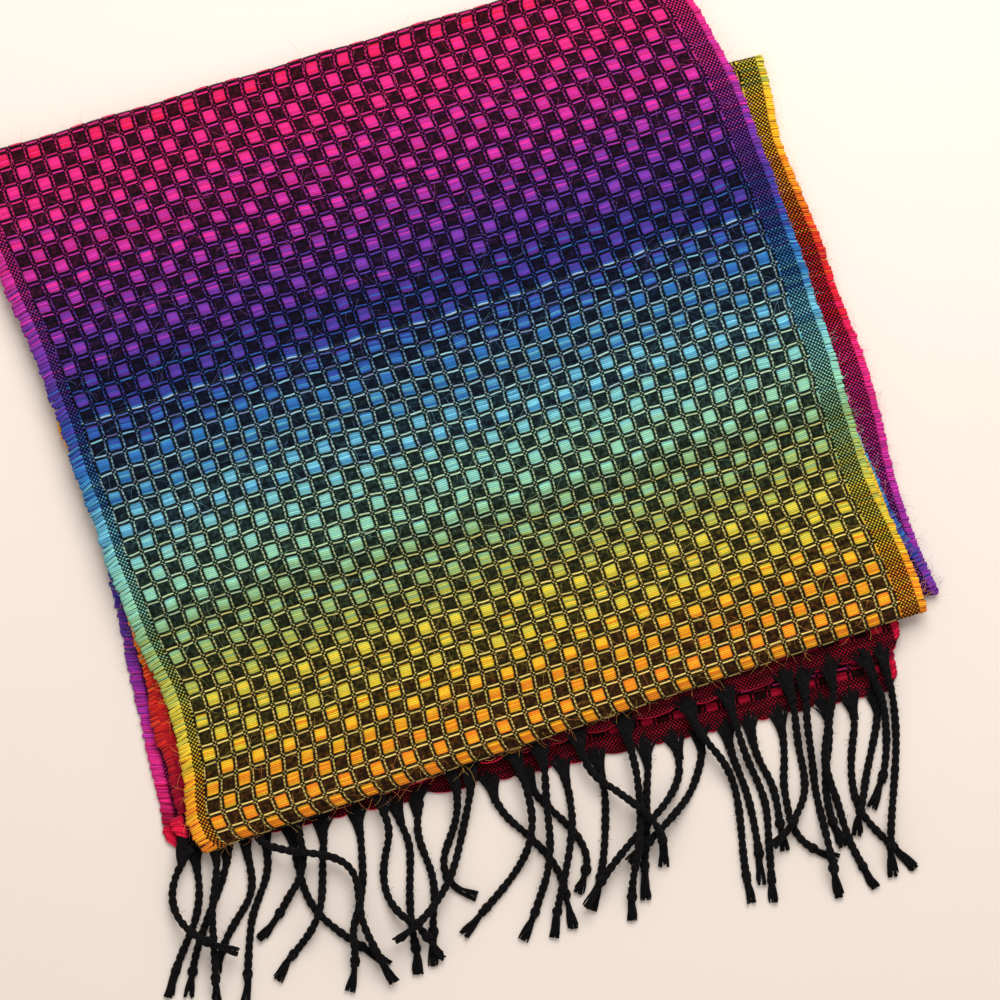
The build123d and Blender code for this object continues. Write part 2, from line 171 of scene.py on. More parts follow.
UPPER_CORDS = [
    [(-155.5, -137.6, 1), (-161.5, -142.6, 1), (-167, -149, 0.6), (-169.8, -156.5, 0.3), (-168.6, -164.2, 1),
     (-163.4, -171.8, 2), (-156, -178, 2), (-150.5, -182, 1)],
    [(-145.2, -138.2, 1), (-147.5, -146.5, 1), (-151.2, -155, 1), (-155.4, -163.5, 1), (-158, -172.5, 1),
     (-160.3, -181.5, 1), (-163, -190.8, 1), (-165.8, -199, 0.2)],
    [(-131, -138.9, 1), (-128, -145, 1), (-120.5, -149.8, 2), (-111, -154.2, 2), (-104, -158.3, 1),
     (-98.7, -163.5, 1), (-97.4, -171, 1), (-99.5, -179, 1), (-100.8, -187.5, 1), (-99.8, -196.4, 1),
     (-98, -205.2, 1), (-96.6, -213.6, 0.3)],
    [(-113.2, -139.9, 1), (-113.4, -147.5, 1), (-114.5, -155.5, 1), (-118.5, -162.8, 1), (-124.7, -167.7, 0.5),
     (-130.5, -173.2), (-136.5, -177.8), (-142, -180.6)],
    [(-80.5, -141.7, 1), (-78.5, -149.5, 1), (-79.5, -157.5, 1), (-84.2, -165, 0.3), (-87.8, -173), (-88.6, -181.5),
     (-85.5, -189.3, 1), (-80, -195.8, 1), (-77.3, -203.8, 1), (-74.6, -210.9, 0.2)],
    [(-48.2, -143.4, 1), (-49.3, -151.5, 1), (-52.5, -159.5, 0.5), (-57.5, -166.5), (-62.8, -173), (-64.3, -180.5),
     (-61, -187.5), (-55, -192)],
    [(-40.2, -143.8, 1), (-44, -151.5, 1), (-48.5, -159.5, 0.5), (-53.5, -168), (-59, -177, 1), (-66.5, -185.5, 1),
     (-75, -191.5, 2), (-84, -195.8, 2), (-91, -197.5, 1)],
    [(-24.2, -144.6, 1), (-22.8, -153, 1), (-23, -162, 1), (-24.8, -171.5, 1), (-29.5, -180, 1), (-36, -186.5),
     (-43, -191.5), (-50.5, -196), (-58, -200.3), (-65, -204.8)],
    [(-12.1, -145.3, 1), (-13.8, -153.5, 1), (-16.3, -162, 1), (-18.3, -170.5, 1), (-20.5, -180.5, 1),
     (-25.5, -192, 1), (-31.5, -200), (-37, -207.7), (-43.5, -214)],
    [(3, -146.2, 1), (2, -154, 1), (4.3, -162, 1), (9.8, -168.7, 1), (14.8, -175.3, 2), (19.3, -182, 2),
     (21.8, -190, 2), (20.8, -197.5, 1), (18.5, -204.5)],
    [(22, -147.2, 1), (21, -155.5, 1), (20.5, -164, 1), (18.8, -172.5, 1), (16.9, -180, 1), (14.2, -187, 2),
     (10.5, -195.5, 2), (6, -203.5, 1), (2.5, -212, 0.3), (0, -220.5)],
    [(47, -148.5, 1), (48, -156.5, 1), (51, -164.3, 1), (54, -172, 1), (55.3, -180.5, 0.3), (54.5, -189.5),
     (52.5, -199), (50, -209), (48, -219), (47, -229)],
    [(63, -149.3, 1), (63.5, -158, 1), (63, -167, 1), (63.3, -176, 0.5), (64.5, -185), (64.7, -194), (62.5, -203),
     (60, -212), (57.5, -222), (54.9, -231.5)],
    [(88, -150.7, 1), (87.3, -159.5, 1), (85.5, -168.5, 0.6), (83.8, -177.5), (83, -186.5), (80.5, -195, 0.3),
     (74.5, -201.5, 1), (68, -206.5, 1), (61.5, -209.5, 1)],
    [(95, -151.1, 1), (92.5, -159.5, 1), (90, -168, 1), (88.5, -177, 0.4), (86.8, -186), (84.8, -195), (84, -204),
     (83, -214.5, 1), (81.5, -226.5, 1), (80.5, -238)],
    [(106, -151.6, 1), (104, -160, 1), (99.5, -168, 1), (95.3, -176, 1), (91.8, -184, 1), (91.3, -193, 0.7),
     (91.7, -202), (91.2, -211), (91.4, -220), (93, -229.5), (95, -239)],
    [(119, -152.3, 1), (120.5, -161, 1), (121.3, -170, 0.6), (119.6, -179), (117, -187.5), (113.5, -195.5),
     (109, -202.5), (103.5, -208.5)],
    [(126, -152.6, 1), (126, -161, 1), (125.3, -170, 0.5), (123.5, -179), (121, -187.5), (117.7, -196), (114, -205),
     (109, -215.5, 1), (105, -226.5, 1), (103.2, -237)],
]

# ---- yarn, in mm --------------------------------------------------------------------------------
CORD_RADIUS_MM = 1.3
CORD_STEP_MM = 4.3
PLY_AWAY, PLY_RADIUS = 0.88, 1.66   # from the cord's line to a ply, and the ply's own, in quarters of a cord
TASSEL_STRANDS = 20
HAIR_RADIUS = 0.042
CORD_HAIR_RADIUS = 0.05
SHORT_LOOPS = 0.68         # the loops at the cloth's right edge reach out less far
LOWEST_MM = 0.03           # nothing reaches below the table


def linear(red, green, blue):
    """A colour as a screen shows it, 0 to 255, as the linear values that shaders take: about its 2.2 power."""
    share = np.array((red, green, blue)) / 255.0
    low, high = share / 12.92, ((share + 0.055) / 1.055) ** 2.4
    return tuple(float(c) for c in np.where(share <= 0.04045, low, high))


def colour_property(label, red, green, blue):
    return bpy.props.FloatVectorProperty(
        name=label, description=f"Dye of the {label.lower()} weft", subtype="COLOR",
        size=3, min=0.0, max=1.0, default=linear(red, green, blue))


class ScarfDyes(bpy.types.PropertyGroup):
    """Colours of the space-dyed weft, in the order of the rainbow, and of the warp."""
    crimson: colour_property("Crimson", 148, 8, 42)
    red: colour_property("Red", 220, 26, 62)
    pink: colour_property("Pink", 222, 42, 124)
    magenta: colour_property("Magenta", 196, 46, 150)
    purple: colour_property("Purple", 128, 48, 156)
    violet: colour_property("Violet", 84, 52, 152)
    blue: colour_property("Blue", 46, 66, 152)
    sky: colour_property("Sky", 46, 118, 178)
    cyan: colour_property("Cyan", 112, 188, 208)
    mint: colour_property("Mint", 140, 202, 172)
    sage: colour_property("Sage", 142, 176, 112)
    lime: colour_property("Lime", 180, 182, 76)
    yellow: colour_property("Yellow", 222, 194, 52)
    gold: colour_property("Gold", 246, 176, 38)
    orange: colour_property("Orange", 240, 132, 34)
    scarlet: colour_property("Scarlet", 212, 44, 30)
    warp: colour_property("Black warp", 9, 8, 9)


def size_property(label, description, size, low, high):
    """A length in the settings, with its default and limits given in mm."""
    return bpy.props.FloatProperty(
        name=label, description=description, default=size * MM, min=low * MM, max=high * MM, precision=5,
        subtype="DISTANCE", unit="LENGTH")


class ScarfCloth(bpy.types.PropertyGroup):
    """Sizes of the woven cloth."""
    thread: size_property("Thread spacing", "Distance between two picks or two ends", 0.819, 0.4, 2)
    puff: size_property("Puff", "How far a block of weft floats stands above the grooves round it", 0.42, 0, 1)
    loop_reach: size_property("Loop reach", "How far the weft loops stand out past the edge", 2.7, 1, 6)
    hairs: bpy.props.IntProperty(
        name="Hairs", description="Number of loose hairs on the top layer", default=1500, min=0, max=4000)


class ScarfFringe(bpy.types.PropertyGroup):
    """Sizes of the twisted cords."""
    diameter: size_property("Cord diameter", "Across the two twisted plies", 2.6, 1, 5)
    twist: size_property("Twist", "Length of cord in which a ply goes once round", 6.4, 3, 20)
    tassel: size_property("Tassel", "Length of the frayed end, from the knot on", 12, 4, 20)


class ScarfStage(bpy.types.PropertyGroup):
    """Floor, lights and camera."""
    floor: bpy.props.FloatVectorProperty(
        name="Floor", description="Colour of the table", subtype="COLOR", size=3, min=0.0, max=1.0,
        default=linear(225, 212, 202))
    lamp: bpy.props.FloatProperty(
        name="Lamp", description="Power of the large soft lamp", default=18.2, min=0.0, unit="POWER")
    sky: bpy.props.FloatProperty(
        name="Sky", description="Strength of the light from all round", default=0.62, min=0.0)
    lens: bpy.props.FloatProperty(
        name="Lens", description="Focal length in millimetres", default=135.0, min=20.0, subtype="DISTANCE_CAMERA")


# ---- meshes from arrays -------------------------------------------------------------------------
def smooth(value, low, high):
    """0 below low, 1 above high, and 3t^2 - 2t^3 between them."""
    share = np.clip((value - low) / (high - low), 0.0, 1.0)
    return share * share * (3 - 2 * share)


def unit(vectors):
    return vectors / np.maximum(np.linalg.norm(vectors, axis=-1, keepdims=True), 1e-12)


def read_at(places, known, vectors):
    """Vectors given at known places, read at other places by straight interpolation."""
    return np.stack([np.interp(places, known, vectors[:, k]) for k in range(3)], -1)


def counts(ends, picks, shape):
    """A pair (end, pick) for each point of a grid of that shape."""
    return np.stack([np.broadcast_to(ends, shape), np.broadcast_to(picks, shape)], -1)


def make_piece(name, points_mm, quads, threads, material):
    """One object at the origin from points in mm, four corners a face, and a (end, pick) place for each point.

    Nothing reaches below the table."""
    points_mm[:, 2] = np.maximum(points_mm[:, 2], LOWEST_MM)
    mesh = bpy.data.meshes.new(name)
    mesh.vertices.add(len(points_mm))
    mesh.vertices.foreach_set("co", (points_mm * MM).astype(np.float32).ravel())
    mesh.loops.add(quads.size)
    mesh.loops.foreach_set("vertex_index", quads.astype(np.int32).ravel())
    mesh.polygons.add(len(quads))
    mesh.polygons.foreach_set("loop_start", np.arange(0, quads.size, 4, dtype=np.int32))
    mesh.update(calc_edges=True)
    if mesh.validate():
        raise RuntimeError(f"{name} has faces that are not sound")
    layer = mesh.uv_layers.new(name="threads")
    layer.data.foreach_set("uv", threads[quads.ravel()].astype(np.float32).ravel())
    mesh.shade_smooth()
    mesh.materials.append(material)
    piece = bpy.data.objects.new(name, mesh)
    bpy.context.scene.collection.objects.link(piece)
    return piece


def joined(parts):
    """Several (points, quads, threads) as one."""
    starts = np.cumsum([0] + [len(points) for points, _, _ in parts[:-1]])
    return (np.concatenate([points for points, _, _ in parts]),
            np.concatenate([quads + start for (_, quads, _), start in zip(parts, starts)]),
            np.concatenate([threads for _, _, threads in parts]))


def tubes(sides, centres, across, up, threads, fan=0.0):
    """Closed tubes: ring point k is centre + across cos(k) + up sin(k), and across x up points along the tube.

    centres (tubes, rings, 3), across and up the half widths as vectors, threads (tubes, rings, 2); the second
    thread count gains fan * cos(k) round the ring."""
    turn = np.arange(sides) * 2 * np.pi / sides
    ring = (centres[:, :, None] + across[:, :, None] * np.cos(turn)[:, None]
            + up[:, :, None] * np.sin(turn)[:, None])
    count, rings = centres.shape[:2]
    index = np.arange(count * rings * sides).reshape(count, rings, sides)
    after = np.roll(index, -1, axis=2)
    walls = np.stack([index[:, :-1], after[:, :-1], after[:, 1:], index[:, 1:]], axis=-1).reshape(-1, 4)
    caps = np.arange(4) if sides == 4 else np.array([[0, 1, 2, 3], [0, 3, 4, 5]])
    ends = index[:, -1][:, caps].reshape(-1, 4)
    starts = index[:, 0][:, caps].reshape(-1, 4)[:, ::-1]
    places = np.repeat(threads[:, :, None], sides, axis=2)
    places = np.stack([places[..., 0], places[..., 1] + fan * np.cos(turn)], -1)
    return ring.reshape(-1, 3), np.concatenate([walls, starts, ends]), places.reshape(-1, 2)


def path_frames(path, hint):
    """Unit tangent, sideways and upward vectors at each point of paths (..., points, 3); sideways x up = tangent."""
    tangent = unit(np.gradient(path, axis=-2))
    side = unit(np.cross(hint, tangent))
    return tangent, side, np.cross(tangent, side)


# ---- the lie of the cloth -----------------------------------------------------------------------
def room_inside(layer, x, y):
    """Distance in mm from a point to the nearest edge of a layer, positive inside its four sides."""
    near, far = LAYER_LINES[layer - 1]
    near_right, far_right = near.at(near.width), far.at(far.width)
    corners = [near.left, near_right, far_right, far.left]
    room = np.full(np.shape(x), 1e9)
    for start, stop in zip(corners, corners[1:] + corners[:1]):
        edge = (stop - start) / np.linalg.norm(stop - start)
        room = np.minimum(room, edge[0] * (y - start[1]) - edge[1] * (x - start[0]))
    return room


def height(layer, x, y):
    """Height in mm of the middle of a layer: half a layer, the layers below it, and a shallow wave.

    A layer below counts in full inside its own outline, and for 1 - SAG well outside it."""
    below = 0.0
    for lower in range(1, layer):
        below = below + (1 - SAG) + SAG * smooth(room_inside(lower, x, y), -SAG_REACH, 0.0)
    wave = (np.sin(x / 31 + y / 47) + 0.7 * np.sin(y / 23 - x / 61 + 1.3) + 0.5 * np.sin(x / 13 + 2) * np.sin(y / 17))
    return 0.75 + LAYER_PITCH * below + 0.32 * wave * (layer - 1) / 5


def bumps(place, shape):
    """A sum of bells: amount * exp(-((place - middle) / spread)^2), for each (amount, middle, spread)."""
    return sum((amount * np.exp(-((place - middle) / spread) ** 2) for amount, middle, spread in shape),
               np.zeros_like(place))


class Panel:
    """A flat length of cloth, straight from one line to another; its edges may wander by a sum of bells."""

    def __init__(self, layer, start, stop, left=(), right=(), sway=0.0):
        self.layer, self.start, self.stop = layer, start, stop
        self.left, self.right, self.sway = left, right, sway
        middle = np.array(start.width / 2)
        self.length = float(np.linalg.norm(stop.at(middle) - start.at(middle)))

    def points(self, share, across):
        """Line at share, from start to stop, at a share of the width: both lines mixed, moved by the edges' bells."""
        share, across = np.meshgrid(share, across, indexing="ij")
        start = self.start.at(across * self.start.width)
        stop = self.stop.at(across * self.stop.width)
        place = start + (stop - start) * share[..., None]
        slide = bumps(share, self.left) * (1 - across) + bumps(share, self.right) * across
        place = place + slide[..., None] * self.start.along
        dip = self.sway * 4 * share * (1 - share) * (smooth(across, 0.2, 0.62) - across)
        x, y = place[..., 0], place[..., 1] - dip
        held = np.sin(np.pi * np.clip(share, 0, 1)) ** 0.5
        phase = self.layer * 1.7
        y = y + held * (0.24 * np.sin(x / 6.3 + phase + y / 30) + 0.3 * np.sin(x / 23 - y / 19 + phase)
                        + 0.16 * np.sin(x / 1.5 + y / 2.3))
        x = x + held * (0.24 * np.sin(y / 5.7 + phase * 2 + x / 25) + 0.3 * np.sin(y / 21 + x / 27 + phase)
                        + 0.16 * np.sin(y / 1.4 - x / 2.6))
        return np.stack([x, y, height(self.layer, x, y)], axis=-1)


class Fold:
    """The bend from one panel to the next: half an ellipse that joins their ends, standing out past the line."""

    def __init__(self, line, low, high, outward, rising=True, left=0.0, right=0.0):
        self.line, self.low, self.high, self.outward, self.rising = line, low, high, outward, rising
        self.left, self.right = left, right
        self.reach = 0.55 + 0.62 * (high - low)
        self.length = np.pi * self.reach

    def points(self, share, across):
        """Height goes from the low to the high layer as -cos, and the place stands out from the line as sin."""
        share, across = np.meshgrid(share, across, indexing="ij")
        place = self.line.at(across * self.line.width)
        place = place + (self.left * (1 - across) + self.right * across)[..., None] * self.line.along
        x, y = place[..., 0], place[..., 1]
        low, high = height(self.low, x, y), height(self.high, x, y)
        turn = np.pi * (share if self.rising else 1 - share)
        out = self.outward * self.reach * np.sin(turn) * (1 + 0.12 * np.sin(x / 7 + self.low))
        z = (low + high) / 2 - np.cos(turn) * (high - low) / 2
        return np.stack([x + out * self.line.inward[0], y + out * self.line.inward[1], z], axis=-1)


class HemPanel:
    """A header: from a line across the cloth to the tips of its scallops, one between each two cords."""

    def __init__(self, layer, edge, roots):
        self.layer, self.edge, self.roots = layer, edge, roots
        self.length = HEM_DEPTH

    def depth(self, across):
        """How far the header reaches: an arc between two roots, full at its middle and less by its height at both."""
        stops = np.concatenate([[0.0], self.roots, [HEM_WIDTH]])
        place = np.clip(across * HEM_WIDTH, 0.001, HEM_WIDTH - 0.001)
        gap = np.searchsorted(stops, place) - 1
        start, stop = stops[gap], stops[gap + 1]
        fall = np.minimum(SCALLOP_DEPTH, (stop - start) / 2)
        return HEM_DEPTH - SCALLOP_DEPTH + fall * np.sin(np.pi * (place - start) / (stop - start)) ** 0.7

    def points(self, share, across):
        share, across = np.meshgrid(share, across, indexing="ij")
        start = self.edge.moved(HEM_DEPTH).at(across * HEM_WIDTH)
        place = start - (share * self.depth(across))[..., None] * self.edge.inward
        x, y = place[..., 0], place[..., 1]
        return np.stack([x, y, height(self.layer, x, y)], axis=-1)


class Strip:
    """A sheet of cloth along panels and folds, as a grid of middle points, outward normals and thread counts."""

    def __init__(self, parts, rows, columns, first_pick, face_up):
        stops = np.cumsum([0.0] + [part.length for part in parts])
        self.length = stops[-1]
        rows = rows[rows < self.length - 0.3]
        rows = np.concatenate([rows, [self.length]])
        across = (columns - columns[0]) / (columns[-1] - columns[0])
        pieces = []
        for part, start, stop in zip(parts, stops, stops[1:]):
            inside = rows[(rows >= start) & ((rows < stop) | (stop == stops[-1]))]
            pieces.append(part.points((inside - start) / (stop - start), across))
        self.middle = np.concatenate(pieces)
        self.across, self.rows, self.columns = across, rows, columns
        along = np.gradient(self.middle, axis=0)
        sideways = np.gradient(self.middle, axis=1)
        self.normal = unit(np.cross(along, sideways)) * (1 if face_up else -1)
        self.face_up = face_up
        self.picks = first_pick + rows / thread_mm()

    def shell(self, puff):
        """Both faces and the four rims: middle + normal * (half the cloth + relief), and the same below.

        Relief is the puff of a weft block, or a third of it for a warp block, times a rounded box in each block."""
        ends, picks = np.meshgrid(self.columns, self.picks)
        count = ends.size
        index = np.arange(count).reshape(ends.shape)
        face = self.middle + self.normal * (HALF_CLOTH + relief(ends, picks, puff))[..., None]
        back = self.middle - self.normal * (HALF_CLOTH + 0.6 * relief(ends, picks + BLOCK, puff))[..., None]
        points = np.concatenate([face.reshape(-1, 3), back.reshape(-1, 3)])
        threads = np.concatenate([np.stack([ends, picks], -1).reshape(-1, 2),
                                  np.stack([ends, picks + BLOCK], -1).reshape(-1, 2)])
        top = np.stack([index[:-1, :-1], index[1:, :-1], index[1:, 1:], index[:-1, 1:]], -1).reshape(-1, 4)
        border = np.concatenate([index[:, 0], index[-1, 1:], index[-2::-1, -1], index[0, -2:0:-1]])
        ahead = np.roll(border, -1)
        rim = np.stack([border, border + count, ahead + count, ahead], -1)
        quads = np.concatenate([top, top[:, ::-1] + count, rim])
        return points, (quads if self.face_up else quads[:, ::-1]), threads

    def along_edge(self, side, rows):
        """Middle, outward, normal and running vectors of one edge, 0 left or -1 right, at any rows."""
        inner = 1 if side == 0 else -2
        middle = read_at(rows, self.rows, self.middle[:, side])
        outward = unit(middle - read_at(rows, self.rows, self.middle[:, inner]))
        normal = unit(read_at(rows, self.rows, self.normal[:, side]))
        return middle, outward, normal, unit(np.cross(normal, outward))

    def loops(self, side, reach, seed):
        """The weft turns round the edge, two picks at a time: a strap goes out over the face, round and back below.

        Each strap is a flattened tube along outward * X + normal * Z, and leans a little along the cloth."""
        random = np.random.default_rng(seed)
        spacing = 2 * thread_mm()
        rows = np.arange(spacing / 2, self.length, spacing)
        rows = rows + random.uniform(-0.15, 0.15, len(rows))
        middle, outward, normal, running = self.along_edge(side, rows)
        far = reach + random.uniform(-0.55, 0.45, len(rows))
        out = np.array([-2.3, -1.2, 0.0, 0.62, 0.96, 0.96, 0.6, 0.0, -1.0])
        if side == -1:
            far = far * SHORT_LOOPS
            out = np.array([-1.0, -0.5, 0.0, 0.62, 0.96, 0.96, 0.6, 0.0, -0.6])
        over = np.array([0.55, 0.80, 0.86, 0.84, 0.35, -0.35, -0.8, -0.8, -0.6])
        out = np.where(out > 0, out * far[:, None], out)[..., None]
        over = np.broadcast_to(over, out.shape[:2])[..., None]
        slant = (0.24 + random.uniform(-0.12, 0.12, len(rows)))[:, None, None]
        lean = -slant * out * (1 if side == 0 else -1) * (-1 if self.face_up else 1)
        path = (middle[:, None] + outward[:, None] * out + normal[:, None] * over + running[:, None] * lean)
        tangent = unit(np.gradient(path, axis=1))
        wide = np.broadcast_to(running[:, None], path.shape)
        wide = unit(wide - tangent * (wide * tangent).sum(-1, keepdims=True))
        size = random.uniform(0.86, 1.08, len(rows))[:, None, None]
        thick = np.cross(tangent, wide)
        ends = (0.1 if side == 0 else LOOPS_RIGHT + 0.1) + np.linspace(0, 1.9, 9)
        picks = (self.picks[0] + rows / thread_mm())[:, None]
        return tubes(6, path, wide * 0.88 * size, thick * 0.36 * size, counts(ends, picks, out.shape[:2]), fan=1.0)

    def hairs(self, count, seed, lift, length, near_edges=False, first_row=0.0):
        """Loose hairs: each leaves the face at a random place and bends as a parabola, lying low over the cloth."""
        random = np.random.default_rng(seed)
        rows = random.uniform(first_row, self.length, count)
        shares = random.uniform(0, 1, count)
        if near_edges:
            shares = np.where(shares < 0.5, 0.0, 1.0)
        r = np.clip(np.searchsorted(self.rows, rows), 1, len(self.rows) - 2)
        c = np.clip((shares * (len(self.across) - 1)).round().astype(int), 0, len(self.across) - 1)
        middle, normal = self.middle[r, c], self.normal[r, c]
        angle = random.uniform(0, 2 * np.pi, count)
        along = unit(self.middle[r + 1, c] - self.middle[r - 1, c])
        side = np.cross(normal, along)
        flow = along * np.cos(angle)[:, None] + side * np.sin(angle)[:, None]
        if near_edges:
            outward = np.where(shares[:, None] < 0.5, -1, 1) * side * np.sign(side[:, :1])
            flow = unit(outward + 0.9 * flow)
        bend = np.cross(normal, flow) * random.normal(0, 0.8, count)[:, None]
        reach = random.uniform(0.4, 1.0, count)[:, None] * length
        t = np.linspace(0, 1, 6)[None, :, None]
        start = middle + normal * (HALF_CLOTH + 0.1) + (flow * 2.0 if near_edges else 0)
        path = (start[:, None] + (flow * reach)[:, None] * t + (bend * reach)[:, None] * t * t
                + normal[:, None] * lift * random.uniform(0.3, 1.0, count)[:, None, None] * 4 * t * (1.15 - t))
        tangent, across, up = path_frames(path, normal[:, None])
        thin = HAIR_RADIUS * (1 - 0.5 * t)
        place = counts(self.columns[c][:, None], self.picks[r][:, None], path.shape[:2])
        return tubes(4, path, across * thin, up * thin, place)


def thread_mm():
    return bpy.context.scene.scarf_cloth.thread / MM


def relief(ends, picks, puff):
    """A block's rounded box: 1 - |2t - 1|^4 over its width times the same over its length."""
    over, along = (1 - np.abs(2 * np.mod(count / BLOCK, 1) - 1) ** 4 for count in (ends, picks))
    weft = np.mod(np.floor(ends / BLOCK) + np.floor(picks / BLOCK), 2)
    woven = (ends > PLAIN_LEFT) & (ends < PLAIN_RIGHT)
    return np.where(woven, puff * (0.3 + 0.7 * weft) * over * along, 0.3 * puff)


def sheet_rows(first_pick, length, tucked=0.0):
    """Distances in mm of the grid's rows: the edge, first thread, middle and last thread of every block of picks.

    The first stretch of a sheet can lie out of sight; every second row is enough there."""
    picks = (np.arange(0, 400)[:, None] * BLOCK + np.array([0, 1, 4, 7])).ravel() - first_pick
    rows = picks[picks > 0.2] * thread_mm()
    rows = rows[(rows > tucked) | (np.arange(len(rows)) % 2 == 0)]
    return np.concatenate([[0.0], rows[rows < length + 5]])


def sheet_columns():
    """The same for the ends, in threads, with both edges of the cloth."""
    last = FIRST_END + CLOTH_WIDTH / thread_mm()
    ends = (np.arange(0, 60)[:, None] * BLOCK + np.array([0, 1, 4, 7])).ravel()
    return np.concatenate([[FIRST_END], ends[(ends > FIRST_END + 0.2) & (ends < last - 0.2)], [last]])


# ---- materials ----------------------------------------------------------------------------------
class Amount:
    """A number or colour that a material works out, so that its formulas are written with + - * / and the like."""

    def __init__(self, recipe, socket):
        self.recipe, self.socket = recipe, socket

    def __rsub__(self, other):
        return self.recipe.math("SUBTRACT", other, self)


def math_method(operation):
    return lambda amount, *others: amount.recipe.math(operation, amount, *others)


for method, operation in {
        "__add__": "ADD", "__sub__": "SUBTRACT", "__mul__": "MULTIPLY", "__truediv__": "DIVIDE", "__pow__": "POWER",
        "__mod__": "MODULO", "__gt__": "GREATER_THAN", "__lt__": "LESS_THAN", "__abs__": "ABSOLUTE",
        "floor": "FLOOR", "fraction": "FRACT", "sine": "SINE", "sign": "SIGN", "at_least": "MAXIMUM",
        "at_most": "MINIMUM"}.items():
    setattr(Amount, method, math_method(operation))


class Recipe:
    """A procedural material put together from small nodes."""

    def __init__(self, name):
        self.material = bpy.data.materials.new(name)
        self.material.use_nodes = True
        self.tree = self.material.node_tree
        self.tree.nodes.clear()
        output = self.tree.nodes.new("ShaderNodeOutputMaterial")
        self.shader = self.tree.nodes.new("ShaderNodeBsdfPrincipled")
        self.tree.links.new(self.shader.outputs[0], output.inputs[0])

    def feed(self, socket, value):
        if isinstance(value, Amount):
            self.tree.links.new(value.socket, socket)
        else:
            socket.default_value = value

    def node(self, kind, output=0, settings=(), **inputs):
        node = self.tree.nodes.new(kind)
        for name, value in settings:
            setattr(node, name, value)
        for name, value in inputs.items():
            self.feed(node.inputs[name], value)
        return Amount(self, node.outputs[output])

    def math(self, operation, *values):
        node = self.tree.nodes.new("ShaderNodeMath")
        node.operation = operation
        for socket, value in zip(node.inputs, values):
            self.feed(socket, value)
        return Amount(self, node.outputs[0])

    def mix(self, share, first, second, blend="MIX"):
        node = self.tree.nodes.new("ShaderNodeMix")
        node.data_type, node.blend_type = "RGBA", blend
        for socket, value in zip((node.inputs[0], node.inputs[6], node.inputs[7]), (share, first, second)):
            self.feed(socket, value if isinstance(value, (float, Amount)) else (*value, 1.0))
        return Amount(self, node.outputs[2])

    def shaded(self, colour, shade):
        """The colour times a shade."""
        return self.mix(1.0, colour, self.node("ShaderNodeCombineXYZ", X=shade, Y=shade, Z=shade), "MULTIPLY")

    def ramp(self, share, stops):
        node = self.tree.nodes.new("ShaderNodeValToRGB")
        elements = node.color_ramp.elements
        while len(elements) < len(stops):
            elements.new(0.5)
        for element, (place, colour) in zip(elements, stops):
            element.position = place
            element.color = (*colour, 1.0)
        self.feed(node.inputs[0], share)
        return Amount(self, node.outputs[0])

    def threads(self):
        """Counts of ends and picks at this point."""
        split = self.tree.nodes.new("ShaderNodeSeparateXYZ")
        self.feed(split.inputs[0], self.node("ShaderNodeUVMap", settings=[("uv_map", "threads")]))
        return Amount(self, split.outputs[0]), Amount(self, split.outputs[1])

    def random(self, value, offset):
        return self.node("ShaderNodeTexWhiteNoise", 0, [("noise_dimensions", "1D")], W=value + offset)

    def noise(self, x, y, detail=2.0):
        return self.node("ShaderNodeTexNoise", 0, [("noise_dimensions", "2D")], Scale=1.0, Detail=detail,
                         Vector=self.node("ShaderNodeCombineXYZ", X=x, Y=y))

    def wool(self, colour, bump, depth, roughness=0.95, sheen=0.05):
        """A dull fibre finish; the bump is depth mm deep."""
        bumped = self.node("ShaderNodeBump", Strength=0.8, Distance=depth * MM, Height=bump)
        for name, value in {"Base Color": colour, "Roughness": roughness, "Specular IOR Level": 0.05,
                            "Sheen Weight": sheen, "Sheen Roughness": 0.45, "Normal": bumped}.items():
            self.feed(self.shader.inputs[name], value)
        return self.material


def dyed_weft(recipe, ends, picks, stops, first_pick, length, stray, lead=0.0):
    """Colour of each pick: the rainbow at its place along the cloth, moved by a random step for every pick.

    The step is stray * r^3, so that most picks stay close and a few come from far along the yarn.  lead, in mm,
    puts some threads ahead in the rainbow."""
    dyes = bpy.context.scene.scarf_dyes
    pick = picks.floor()
    step = recipe.random(pick, 0.37) * 2.0 - 1.0
    drift = recipe.noise(ends * 0.02, pick * 3.71)
    place = (picks - first_pick) * thread_mm() + abs(step) ** 3.0 * step.sign() * stray + (drift - 0.5) * 28.0 + lead
    colour = recipe.ramp(place / length, [(at / length, getattr(dyes, dye)) for at, dye in stops])
    return colour, recipe.random(pick, 7.1) * 0.52 + 0.70, pick


